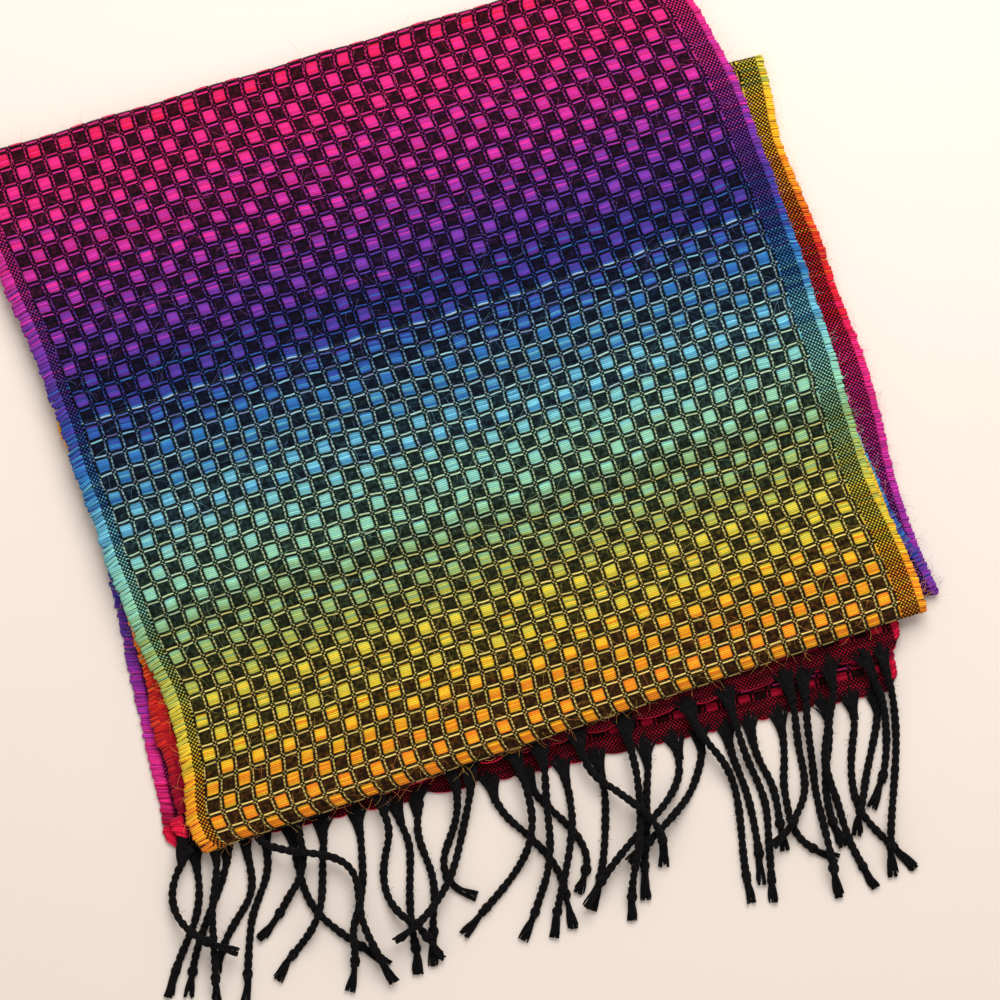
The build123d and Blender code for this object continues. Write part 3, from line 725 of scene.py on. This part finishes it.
def weave_material(name, stops, first_pick, length, stray=19.0, plain_from=None, extra=None, dim=1.0,
                   loop_ends=LOOPS_LEFT):
    """Block weave in two colours, read from the thread counts.

    A thread crossing shows weft when its block number, plus one more if it is the outer thread of its block, adds up
    odd over both directions.  Near both edges it is plain weave, and at the very edge weft only.  A block's light
    falls off as 1 - 0.2 c - 0.13 c^2, where c is the sum of both distances from its middle, each to the power 4."""
    recipe = Recipe(name)
    ends, picks = recipe.threads()
    plain = (ends < PLAIN_LEFT).at_least(ends > PLAIN_RIGHT)
    if plain_from is not None:
        plain = plain.at_least(picks > plain_from)
    loops = (ends < loop_ends).at_least(ends > LOOPS_RIGHT)
    blocked = 1.0 - plain

    def block(thread):
        """The block's number, whether this is its outer thread, the light between threads, the thread's roundness,
        and the fourth power of the distance from the block's middle."""
        number = (thread / BLOCK).floor()
        from_middle = abs(thread - number * BLOCK - BLOCK / 2)
        outer = (from_middle > BLOCK / 2 - 1.0) * blocked
        # Painted shade: gap darkens the groove between a block's outer thread and the rest of the block, and thin
        # darkens both edges of an outer thread so that it looks narrow.
        gap = (abs(from_middle - (BLOCK / 2 - 1.0)) / 0.5).at_most(1.0)
        thread_round = (thread.fraction() * np.pi).sine()
        thin = 1.0 - outer * (1.0 - thread_round)
        light = (gap * 0.66 + 0.34) * (thin * 0.7 + 0.3)
        return number, outer, light.at_least(plain), thread_round, (from_middle / 3.0) ** 4.0

    end_block, end_outer, end_light, round_end, end_away = block(ends)
    pick_block, pick_outer, pick_light, round_pick, pick_away = block(picks)
    frame_thread = end_outer.at_least(pick_outer)
    weft_colour, tone, pick = dyed_weft(recipe, ends, picks, stops, first_pick, length, stray,
                                        frame_thread * FRAME_LEAD)
    blocks = (end_block + end_outer + (pick_block + pick_outer)) % 2.0
    dots = (ends.floor() + pick) % 2.0
    weft = (blocks * blocked + dots * plain).at_least(loops)

    # Painted shade: a block's floats get darker towards its edges and corners, as a puffed block does under light
    # from above; none on outer threads or plain weave.
    away = end_away + pick_away
    pillow_shade = (away * (away * -0.13 - 0.2) + 1.0).at_least(0.12).at_least(frame_thread).at_least(plain)
    stitches = (1.0 - abs((picks * (np.pi / 2)).sine())) * end_outer * 0.95
    # bulge is each thread's roundness: it feeds the bump, and in shade it also paints light along each thread's
    # middle and shade at its sides (bulge * 0.34 + 0.70).
    bulge = round_pick * weft + round_end * (1.0 - weft)
    # Painted shade round every thread crossing of the plain weave, so that only the top of each crossing is lit; none
    # in the blocks or loops.
    crossing_shade = (round_pick * round_end * plain * 0.9 + 0.12).at_least(blocked).at_least(loops)
    fibre = recipe.noise(ends * 1.1, picks * 3.1, 3.0)
    # dim darkens a whole weave but its loops: painted shadow, and for the headers also the darker look of their dense
    # black warp.
    shade = (bulge * 0.34 + 0.70) * (fibre + 0.55) * tone * loops.at_least(dim)
    shade = shade * end_light * pick_light * crossing_shade * pillow_shade * (1.0 - stitches)

    tint = recipe.noise(ends * 0.45, picks * 0.45, 5.0) ** 4.0 * 0.38 + 0.010
    if extra is not None:
        weft_colour = extra(recipe, weft_colour, pick, frame_thread, blocked)
    warp_colour = recipe.mix(tint, tuple(bpy.context.scene.scarf_dyes.warp), weft_colour)
    colour = recipe.shaded(recipe.mix(weft, warp_colour, weft_colour), shade)
    return recipe.wool(colour, fibre * 0.6 + bulge, 0.25)


def fuzz_material(name, stops, first_pick, length):
    """Loose hairs take the colour of the yarn that they come from, a little paler."""
    recipe = Recipe(name)
    colour, tone, _ = dyed_weft(recipe, *recipe.threads(), stops, first_pick, length, 30.0)
    colour = recipe.mix(0.10, colour, (0.75, 0.68, 0.62))
    return recipe.wool(recipe.shaded(colour, tone), tone, 0.05, sheen=0.15)


def yarn_material(name):
    """Black wool: fine slanting fibres along each ply, a little grey where the fibre noise runs high."""
    recipe = Recipe(name)
    along, around = recipe.threads()
    fibre = recipe.noise(along * 0.7, (along * 0.9 + around) * 9.0, 4.0)
    grey = recipe.mix(fibre ** 4.0 * 0.7, tuple(bpy.context.scene.scarf_dyes.warp), (0.05, 0.043, 0.045))
    return recipe.wool(grey, fibre, 0.25, roughness=0.9, sheen=0.02)


# ---- fringe -------------------------------------------------------------------------------------
def cord_height(step):
    """Height in mm of a cord's middle on a step."""
    return CORD_RADIUS_MM + step * CORD_STEP_MM


def route_points(route):
    """The route's control points in mm, with the height of each step."""
    return [(x, y, cord_height(sum(step))) for x, y, *step in route]


def read_spline(name, route):
    """Evenly spaced points, in mm, on the smooth curve that the route's points control."""
    curve = bpy.data.curves.new(name + "_route", "CURVE")
    curve.dimensions = "3D"
    spline = curve.splines.new("NURBS")
    points = [(x * MM, y * MM, z * MM) for x, y, z in route_points(route)]
    spline.points.add(len(points) - 1)
    spline.points.foreach_set("co", np.array([(*point, 1.0) for point in points]).ravel())
    spline.order_u = 3
    spline.use_endpoint_u = True
    spline.resolution_u = 24
    holder = bpy.data.objects.new(name + "_route", curve)
    bpy.context.scene.collection.objects.link(holder)
    bpy.context.view_layer.update()
    mesh = bpy.data.meshes.new_from_object(holder)
    line = np.empty(len(mesh.vertices) * 3)
    mesh.vertices.foreach_get("co", line)
    line = line.reshape(-1, 3) / MM
    bpy.data.meshes.remove(mesh)
    bpy.data.objects.remove(holder)
    bpy.data.curves.remove(curve)
    if np.linalg.norm(line[0] / 1000 - points[0]) > np.linalg.norm(line[-1] / 1000 - points[0]):
        line = line[::-1]
    run = np.concatenate([[0], np.cumsum(np.linalg.norm(np.diff(line, axis=0), axis=1))])
    even = np.linspace(0, run[-1], int(run[-1] / 0.65) + 1)
    return read_at(even, run, line), run[-1]


def cord_parts(line, length, seed):
    """Two plies wound round the line, a knot where they swell, and a tassel of thin strands to the end.

    Ply: centre = line + r (side cos a + up sin a), with a = 2 pi s / twist, and r and the ply's own radius
    growing by a bell at the knot."""
    fringe = bpy.context.scene.scarf_fringe
    random = np.random.default_rng(seed)
    radius = fringe.diameter / MM / 4
    tassel = min(fringe.tassel / MM * random.uniform(0.8, 1.15), 0.3 * length)
    run = np.linspace(0, length, len(line))
    _, side, up = path_frames(line, UPWARD)
    knot = length - tassel
    reach = run < knot + 2.2
    swell = np.exp(-((run - knot) / 1.6) ** 2)
    uneven = 1 + 0.07 * np.sin(run / 3.1 + seed) + 0.05 * np.sin(run / 1.3 + 2 * seed)
    wound = 2 * np.pi * run / (fringe.twist / MM) + random.uniform(0, 6) + 0.5 * np.sin(run / 9 + seed)
    parts = []
    for phase in (0.0, np.pi):
        turn = (wound + phase)[:, None]
        away = (radius * PLY_AWAY * (1 + 0.5 * swell))[:, None]
        centre = line + away * (side * np.cos(turn) + up * np.sin(turn))
        own = (radius * PLY_RADIUS * uneven * (1 + 0.3 * swell))[reach][None, :, None]
        centre = centre[reach]
        _, across, over = path_frames(centre, UPWARD)
        place = counts(run[reach], phase, (1, reach.sum()))
        parts.append(tubes(6, centre[None], across[None] * own, over[None] * own, place))
    t = np.linspace(0, 1, 7)[None, :, None]
    stop = np.concatenate([np.full(8, length), random.uniform(knot + 0.78 * tassel, length, TASSEL_STRANDS - 8)])
    place = knot - 0.6 + (stop[:, None] - knot + 0.6) * t[..., 0]
    centre, sideways, upward = (read_at(place, run, vectors) for vectors in (line, side, up))
    angle = random.uniform(0, 2 * np.pi, TASSEL_STRANDS)[:, None, None]
    spread = random.uniform(0.2, 1.0, TASSEL_STRANDS)[:, None, None] * (1.0 + 1.1 * t)
    curl = angle + 0.9 * np.sin(3 * t + angle * 2)
    centre = centre + spread * (sideways * np.cos(curl) + upward * np.sin(curl) * 0.55)
    centre[..., 2] = np.maximum(centre[..., 2], 0.5)
    _, across, over = path_frames(centre, UPWARD)
    thin = 0.52 * (1 - 0.35 * t)
    parts.append(tubes(4, centre, across * thin, over * thin, counts(place, angle[..., 0], place.shape)))
    return joined(parts)


def cord_hairs(line, seed, count=34):
    """Short hairs that leave a cord's side or top at random and droop as the square of their length."""
    random = np.random.default_rng(seed)
    radius = bpy.context.scene.scarf_fringe.diameter / MM / 2
    _, side, up = path_frames(line, UPWARD)
    at = random.integers(2, len(line) - 20, count)
    turn = random.uniform(0, 2 * np.pi, count)[:, None]
    away = side[at] * np.cos(turn) + np.abs(up[at] * np.sin(turn))
    flow = unit(away + 1.2 * random.uniform(-1, 1, (count, 1)) * (line[at + 1] - line[at - 1]))
    t = np.linspace(0, 1, 5)[None, :, None]
    path = (line[at] + away * radius)[:, None] + flow[:, None] * t * random.uniform(0.8, 2.6, (count, 1, 1))
    path = path - np.array((0.0, 0.0, 0.5)) * t ** 2
    path[..., 2] = np.maximum(path[..., 2], 0.2)
    _, across, over = path_frames(path, np.array((0.3, 0.1, 1.0)))
    return tubes(4, path, across * CORD_HAIR_RADIUS, over * CORD_HAIR_RADIUS, np.zeros((*path.shape[:2], 2)))


def make_cords(family, routes, body, material):
    """Every cord of one fringe, each in place of its CAD tube."""
    fuzz = []
    for number, route in enumerate(routes, start=1):
        node = f"{family}_fringe_cord_{number:02d}"
        line, length = read_spline(node, route)
        points, quads, threads = cord_parts(line, length, number + (100 if family == "upper" else 0))
        piece = make_piece(f"{family}_twisted_cord_{number:02d}", points, quads, threads, material)
        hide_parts(node)
        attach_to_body(piece, body)
        fuzz.append(cord_hairs(line, number + 400))
    hairs = make_piece(f"{family}_fringe_fuzz", *joined(fuzz), material)
    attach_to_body(hairs, body)


def cord_roots(edge, routes):
    """Where each cord leaves the header, as a distance along the header's edge."""
    return np.array([(np.array(route[0][:2]) - edge.left) @ edge.along for route in routes])


def fans(layer, edge, routes, seed):
    """Black warp gathered from the header into each cord: strands from points spread along the header's edge.

    They draw in sideways to the cord as 1 - (1 - t)^2.1, run out along it as t^1.15, and fall from the cloth's
    face to the cord's height on a smooth step."""
    random = np.random.default_rng(seed)
    roots = cord_roots(edge, routes)
    gaps = np.diff(np.concatenate([[roots[0] - 9], roots, [roots[-1] + 9]]))
    strands = 17
    spread = np.linspace(-1, 1, strands)
    half = np.where(spread[None] < 0, gaps[:-1, None], gaps[1:, None]).clip(3.0, 11.0) * 0.47
    start_along = roots[:, None] + spread * half + random.normal(0, 0.3, (len(roots), strands))
    start_along = start_along.clip(1, HEM_WIDTH - 1)
    deep = HemPanel(layer, edge, roots).depth(start_along / HEM_WIDTH) - random.uniform(0.6, 3.4, start_along.shape)
    start = edge.moved(HEM_DEPTH).at(start_along) - deep[..., None] * edge.inward
    first = np.array([route_points(route[:2]) for route in routes])
    cord = first[:, 0, 2]
    first = first[..., :2]
    stop = first[:, 0] + (first[:, 1] - first[:, 0]) * 0.95
    t = np.linspace(0, 1, 7)
    ease = (1 - (1 - t) ** 2.1)[None, None, :, None]
    narrow = spread[None, :, None] * unit(np.stack([first[:, 1, 1] - first[:, 0, 1],
                                                    first[:, 0, 0] - first[:, 1, 0]], -1))[:, None] * -1.1
    down = t[None, None, :, None] ** 1.15
    x_line = start[:, :, None] * (1 - ease) + (stop[:, None] + narrow)[:, :, None] * ease
    y_line = start[:, :, None] * (1 - down) + (stop[:, None] + narrow)[:, :, None] * down
    across = ((x_line - y_line) @ edge.along)[..., None] * edge.along
    flat = y_line + across
    cloth = height(layer, start[..., 0], start[..., 1]) + HALF_CLOTH + 0.25
    fall = smooth(t, 0.15, 1.0)
    cord = cord[:, None, None] + random.uniform(-0.5, 0.5, cloth.shape)[..., None]
    z = cloth[..., None] * (1 - fall) + cord * fall
    path = np.concatenate([flat, z[..., None]], -1).reshape(-1, len(t), 3)
    _, side, up = path_frames(path, UPWARD)
    thick = (0.55 * random.uniform(0.7, 1.2, len(path)))[:, None, None]
    thick = thick * (0.3 + 0.7 * smooth(t, 0.0, 0.4))[None, :, None]
    place = counts(t * 9, np.arange(len(path))[:, None], path.shape[:2])
    return tubes(4, path, side * thick, up * thick, place)


def hem_edging(layer, edge, routes, seed):
    """The last pick of the header, seen round the tip of every scallop: a strand along the scallop's edge."""
    random = np.random.default_rng(seed)
    panel = HemPanel(layer, edge, cord_roots(edge, routes))
    stops = np.concatenate([[0.0], panel.roots, [HEM_WIDTH]])
    share = np.linspace(0.2, 0.8, 9)
    place = stops[:-1, None] + np.diff(stops)[:, None] * share
    keep = np.diff(stops) > 4.5
    place = place[keep]
    tip = edge.moved(HEM_DEPTH).at(place) - (panel.depth(place / HEM_WIDTH) - 0.1)[..., None] * edge.inward
    z = height(layer, tip[..., 0], tip[..., 1])[..., None]
    path = np.concatenate([tip, z], -1)
    _, side, up = path_frames(path, UPWARD)
    thick = 0.5 * random.uniform(0.8, 1.2, len(path))[:, None, None]
    threads = counts(0.3, random.uniform(0, 14, len(path))[:, None], place.shape)
    return tubes(6, path, side * thick, up * 1.1 * thick, threads)


# ---- putting the sheets together ----------------------------------------------------------------
def bend_over(line, z_low, z_high, tilt):
    """Start and end of a blend at a fold: straight up from the low to the high layer, leaning by tilt along the
    cloth, so that every point well inside the upper panel counts as past the end."""
    middle = line.at(np.array(line.width / 2))
    lean = -tilt * line.inward
    rise = z_high - z_low
    start = np.array((*middle, z_low))
    return start * MM, (start + np.array((lean[0], lean[1], 1.0)) * rise) * MM


def attach(piece, body=None, fold=None):
    """Rides on one body, or, given a fold, only has its place baked into its mesh."""
    if fold is None:
        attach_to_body(piece, body)
    else:
        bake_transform(piece)


def make_sheet(name, parts, first_pick, face_up, stops, nodes, body=None, fold=None,
               hairs=0, extra=None, loop_ends=LOOPS_LEFT, tucked=0.0, seed=1):
    """One sheet with its two selvedges of weft loops and its loose hairs, all held alike."""
    cloth = bpy.context.scene.scarf_cloth
    length = sum(part.length for part in parts)
    strip = Strip(parts, sheet_rows(first_pick, length, tucked), sheet_columns(), first_pick, face_up)
    material = weave_material(f"{name}_weave", stops, first_pick, length, extra=extra, loop_ends=loop_ends)
    piece = make_piece(name, *strip.shell(cloth.puff / MM), material)
    reach = cloth.loop_reach / MM
    loops = joined([strip.loops(0, reach, seed), strip.loops(-1, reach, seed + 50)])
    selvedge = make_piece(f"{name}_selvedges", *loops, material)
    fuzz = [strip.hairs(240, seed + 5, 0.5, 4.0, near_edges=True)]
    if hairs:
        fuzz.append(strip.hairs(hairs, seed + 6, 0.55, 7.0))
        fuzz.append(strip.hairs(hairs // 8, seed + 7, 0.9, 6.0, first_row=strip.length - 10))
    hair = make_piece(f"{name}_fuzz", *joined(fuzz), fuzz_material(f"{name}_hair", stops, first_pick, length))
    for each in (piece, selvedge, hair):
        attach(each, body, fold)
    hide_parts(*nodes)
    return piece


def make_header(name, layer, edge, routes, node, body, stops, seed):
    """A header with the edging of its scallops, its gathered warp and the loops at its two sides."""
    cloth = bpy.context.scene.scarf_cloth
    panel = HemPanel(layer, edge, cord_roots(edge, routes))
    columns = FIRST_END + np.arange(0.0, HEM_WIDTH / thread_mm(), 1.0)
    rows = np.linspace(0, HEM_DEPTH, 17)
    strip = Strip([panel], rows, columns, 0.0, True)
    strip.normal = np.broadcast_to((0.0, 0.0, 1.0), strip.normal.shape)
    # dim=0.5: painted shadow over the header's weave, together with the darker look of its dense black warp.
    material = weave_material(f"{name}_weave", stops, 0.0, HEM_DEPTH, stray=5.0, plain_from=5.0, dim=0.5)
    points, quads, threads = strip.shell(0.2)
    threads[:, 1] = (edge.moved(HEM_DEPTH).left - points[:, :2]) @ edge.inward / thread_mm()
    piece = make_piece(name, points, quads, threads, material)
    edging = joined([strip.loops(0, cloth.loop_reach / MM, seed), strip.loops(-1, cloth.loop_reach / MM, seed + 3),
                     hem_edging(layer, edge, routes, seed + 9)])
    trim = make_piece(f"{name}_edging", *edging, material)
    gathers = make_piece(f"{name}_gathered_warp", *fans(layer, edge, routes, seed + 20),
                         yarn_material(f"{name}_warp"))
    for each in (piece, trim, gathers):
        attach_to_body(each, body)
    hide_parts(node)


PALE_PICK = 1102.0         # one pale pick, where the blue begins on the top layer
LAST_PICKS = 1230.0        # from here to the near fold of the top layer


# ---- operators ----------------------------------------------------------------------------------
class ScarfOperator:
    bl_options = {"REGISTER", "UNDO"}


class SCARF_OT_stage(ScarfOperator, bpy.types.Operator):
    """Pale table, one large soft lamp, light from all round, and the camera straight above"""
    bl_idname = "scarf.stage"
    bl_label = "Stage"

    def execute(self, context):
        scene, stage = context.scene, context.scene.scarf_stage
        camera_data = bpy.data.cameras.new("camera")
        camera_data.lens = stage.lens
        camera_data.sensor_width = 36.0
        camera_data.clip_end = 50.0
        camera = bpy.data.objects.new("camera", camera_data)
        distance = VIEW_WIDTH_MM * stage.lens / camera_data.sensor_width + VIEW_HEIGHT_MM
        camera.location = (TABLE_VIEW_CENTRE_MM[0] * MM, TABLE_VIEW_CENTRE_MM[1] * MM, distance * MM)
        camera.rotation_euler = (0.0, 0.0, np.radians(VIEW_TURN))
        scene.collection.objects.link(camera)
        scene.camera = camera
        scene.view_settings.view_transform = "Standard"

        mesh = bpy.data.meshes.new("table")
        corners = [(-TABLE_HALF, -TABLE_HALF, 0), (TABLE_HALF, -TABLE_HALF, 0), (TABLE_HALF, TABLE_HALF, 0),
                   (-TABLE_HALF, TABLE_HALF, 0)]
        mesh.from_pydata(corners, [], [(0, 1, 2, 3)])
        recipe = Recipe("table_paper")
        grain = recipe.node("ShaderNodeTexNoise", 0, Scale=60.0, Detail=4.0,
                            Vector=recipe.node("ShaderNodeTexCoord", "Object"))
        colour = recipe.mix(grain * 0.05, tuple(stage.floor), (0.55, 0.47, 0.42))
        recipe.feed(recipe.shader.inputs["Base Color"], colour)
        recipe.shader.inputs["Roughness"].default_value = 0.6
        mesh.materials.append(recipe.material)
        table = bpy.data.objects.new("table", mesh)
        scene.collection.objects.link(table)

        lamp_data = bpy.data.lights.new("window", "AREA")
        lamp_data.energy = stage.lamp
        lamp_data.size = LAMP_SIZE
        lamp_data.color = (1.0, 0.985, 0.96)
        lamp = bpy.data.objects.new("window", lamp_data)
        lamp.location = LAMP_PLACE
        lamp.rotation_euler = np.radians(LAMP_TURN)
        scene.collection.objects.link(lamp)

        world = bpy.data.worlds.new("room")
        world.use_nodes = True
        background = world.node_tree.nodes["Background"]
        background.inputs[0].default_value = (1.0, 0.975, 0.95, 1.0)
        background.inputs[1].default_value = stage.sky
        scene.world = world
        return {"FINISHED"}


class SCARF_OT_lower_fringe(ScarfOperator, bpy.types.Operator):
    """The twisted cords of the lower fringe"""
    bl_idname = "scarf.lower_fringe"
    bl_label = "Lower fringe"

    def execute(self, context):
        make_cords("lower", LOWER_CORDS, "bottom", yarn_material("lower_fringe_yarn"))
        return {"FINISHED"}


class SCARF_OT_upper_fringe(ScarfOperator, bpy.types.Operator):
    """The twisted cords of the upper fringe"""
    bl_idname = "scarf.upper_fringe"
    bl_label = "Upper fringe"

    def execute(self, context):
        make_cords("upper", UPPER_CORDS, "top", yarn_material("upper_fringe_yarn"))
        return {"FINISHED"}


class SCARF_OT_headers(ScarfOperator, bpy.types.Operator):
    """Both plain-weave headers with their edging and gathered warp"""
    bl_idname = "scarf.headers"
    bl_label = "Headers"

    def execute(self, context):
        stops = [(0, "red"), (3, "crimson"), (6, "red"), (9, "crimson"), (12, "red")]
        make_header("lower_header", 1, LOWER_HEM_EDGE, LOWER_CORDS, "lower_hem", "bottom", stops, 301)
        make_header("upper_header", 4, UPPER_HEM_EDGE, UPPER_CORDS, "upper_hem", "top", stops, 302)
        return {"FINISHED"}


class SCARF_OT_lower_layers(ScarfOperator, bpy.types.Operator):
    """The three lengths of cloth under the fold-out part"""
    bl_idname = "scarf.lower_layers"
    bl_label = "Lower layers"

    def execute(self, context):
        make_sheet(
            "bottom_sheet", [
                Panel(1, LOWER_HEM_EDGE.moved(HEM_DEPTH), FOLD_1_2, left=[(0.8, 0.5, 2)], right=[(-6.5, 1.0, 0.25)])],
            16.0, False,
            [(0, "crimson"), (14, "pink"), (40, "magenta"), (66, "purple"), (90, "violet"), (112, "blue"),
             (128, "sky"), (150, "cyan"), (172, "mint"), (196, "sage"), (218, "lime"), (240, "yellow")],
            ["layer_1_bottom"], body="bottom", seed=11)
        make_sheet(
            "second_sheet", [
                Fold(FOLD_1_2, 1, 2, 1, left=0.5, right=-5.6),
                Panel(2, FOLD_1_2, FOLD_2_3, left=[(2.0, 0.5, 2)],
                      right=[(-5.5, 0.5, 3), (-3.0, 0.16, 0.1), (1.9, 0.6, 0.1), (-1.1, 0.84, 0.08),
                             (0.9, 1.0, 0.06)])],
            330.0, True,
            [(0, "lime"), (10, "yellow"), (34, "gold"), (58, "orange"), (82, "scarlet"), (108, "red"), (138, "pink"),
             (172, "magenta"), (214, "purple"), (240, "violet")],
            ["layer_2", "fold_1_to_2"],
            fold=("bottom", "second", *bend_over(FOLD_1_2, 0.9, 2.4, 0.3)), seed=22)
        make_sheet(
            "third_sheet", [
                Fold(FOLD_2_3, 2, 3, -1, left=2.0, right=-4.2),
                Panel(3, FOLD_2_3, FOLD_3_6, left=[(3.0, 0.5, 2)], right=[(-13.0, 0.6, 0.9), (4.2, 0.0, 0.09)])],
            624.0, False,
            [(0, "purple"), (12, "violet"), (26, "blue"), (50, "sky"), (76, "cyan"), (104, "mint"), (132, "sage"),
             (158, "lime"), (186, "yellow"), (212, "gold"), (236, "orange"), (256, "scarlet"), (276, "red")],
            ["layer_3", "fold_2_to_3"],
            fold=("second", "third", *bend_over(FOLD_2_3, 2.6, 4.2, -0.3)), seed=33)
        return {"FINISHED"}


class SCARF_OT_inner_layers(ScarfOperator, bpy.types.Operator):
    """The two lengths of cloth that lie inside the fold-out part"""
    bl_idname = "scarf.inner_layers"
    bl_label = "Inner layers"

    def execute(self, context):
        make_sheet(
            "inner_sheet", [
                Panel(5, FOLD_5_6.moved(0.6), FOLD_4_5, left=[(6.0, 0.5, 9)], right=[(-12.0, 1.0, 0.8)]),
                Fold(FOLD_4_5, 4, 5, 1, rising=False, left=6.0, right=-12.0),
                Panel(4, FOLD_4_5, UPPER_HEM_EDGE.moved(HEM_DEPTH),
                      left=[(7.0, 0.4, 9), (-5.0, 0.33, 0.07), (-3.2, 0.85, 0.07), (-3.4, 0.98, 0.07)],
                      right=[(-12.0, 0.0, 0.6)])],
            1368.0, False,
            [(0, "orange"), (24, "gold"), (60, "yellow"), (110, "lime"), (150, "sage"), (190, "lime"),
             (230, "yellow"), (268, "yellow"), (310, "gold"), (396, "gold"), (416, "orange"), (440, "scarlet"),
             (486, "crimson"), (500, "crimson")],
            ["layer_4_tucked", "layer_5_tucked", "fold_5_to_4"], body="top",
            loop_ends=7.0, tucked=200.0, seed=44)
        return {"FINISHED"}


class SCARF_OT_top_layer(ScarfOperator, bpy.types.Operator):
    """The length of cloth on top, from the high far fold to the near fold"""
    bl_idname = "scarf.top_layer"
    bl_label = "Top layer"

    def execute(self, context):
        def slubs(recipe, colour, pick, frame_thread, blocked):
            """A single pale pick where blue begins, with pale outer threads after it and dull ones before it.

            Near the end the outer threads stay yellow."""
            pale = recipe.math("COMPARE", pick, PALE_PICK, 0.5) * blocked
            colour = recipe.mix(pale * 0.7, colour, (0.50, 0.72, 0.84))
            last = (pick > LAST_PICKS) * frame_thread
            colour = recipe.mix(last * 0.8, colour, tuple(context.scene.scarf_dyes.yellow))
            after = ((pick - PALE_PICK) * 0.03 + 0.1).at_least(0.0).at_most(1.0) * frame_thread
            colour = recipe.mix(after * 0.28, colour, (0.84, 0.80, 0.52))
            before = (pick < PALE_PICK) * frame_thread
            return recipe.mix(before * 0.08, colour, (0.01, 0.01, 0.02))

        make_sheet(
            "top_sheet", [
                Fold(FOLD_3_6, 3, 6, 1, left=-1.5, right=-10.0),
                Panel(6, FOLD_3_6, FOLD_5_6,
                      left=[(3.2, 0.6, 3), (-4.8, 0.05, 0.17), (3.6, 0.80, 0.08), (-4.2, 0.965, 0.05)],
                      right=[(-11.0, -0.02, 0.16), (1.0, 0.42, 0.1), (-2.3, 0.76, 0.14), (-1.0, 1.0, 0.04),
                             (-2.8, 0.45, 0.35), (-1.6, 0.8, 0.1)],
                      sway=5.0),
                Fold(FOLD_5_6, 5, 6, -1, rising=False, left=2.0, right=-1.5)],
            960.0, True,
            [(2, "red"), (16, "pink"), (34, "pink"), (56, "magenta"), (78, "purple"), (102, "violet"), (119, "blue"),
             (140, "sky"), (162, "cyan"), (184, "mint"), (208, "sage"), (226, "lime"), (250, "yellow"), (262, "gold"),
             (272, "orange"), (284, "gold"), (296, "orange")],
            ["layer_6_top", "fold_3_to_6", "fold_6_to_5"],
            fold=("third", "top", *bend_over(FOLD_3_6, 4.6, 9.0, 0.3)),
            hairs=context.scene.scarf_cloth.hairs, extra=slubs, seed=66)
        return {"FINISHED"}


class SCARF_PT_panel(bpy.types.Panel):
    """Lists the sizes and colours, and one button for each group of pieces"""
    bl_label = "Folded scarf"
    bl_idname = "SCARF_PT_panel"
    bl_space_type = "VIEW_3D"
    bl_region_type = "UI"
    bl_category = "Scarf"

    def draw(self, context):
        for group in (context.scene.scarf_cloth, context.scene.scarf_fringe, context.scene.scarf_stage,
                      context.scene.scarf_dyes):
            box = self.layout.box()
            for name in group.__annotations__:
                box.prop(group, name)
        for operator in OPERATORS:
            self.layout.operator(operator.bl_idname)


OPERATORS = (SCARF_OT_stage, SCARF_OT_lower_fringe, SCARF_OT_upper_fringe, SCARF_OT_lower_layers,
             SCARF_OT_inner_layers, SCARF_OT_top_layer, SCARF_OT_headers)
GROUPS = {"scarf_dyes": ScarfDyes, "scarf_cloth": ScarfCloth, "scarf_fringe": ScarfFringe, "scarf_stage": ScarfStage}


def register():
    for each in (*GROUPS.values(), *OPERATORS, SCARF_PT_panel):
        bpy.utils.register_class(each)
    for name, group in GROUPS.items():
        setattr(bpy.types.Scene, name, bpy.props.PointerProperty(type=group))


def unregister():
    for name in GROUPS:
        delattr(bpy.types.Scene, name)
    for each in reversed((*GROUPS.values(), *OPERATORS, SCARF_PT_panel)):
        bpy.utils.unregister_class(each)


def main():
    register()
    bpy.ops.scarf.stage()
    bpy.ops.scarf.lower_fringe()
    bpy.ops.scarf.upper_fringe()
    bpy.ops.scarf.lower_layers()
    bpy.ops.scarf.inner_layers()
    bpy.ops.scarf.top_layer()
    bpy.ops.scarf.headers()


if __name__ == "__main__":
    main()
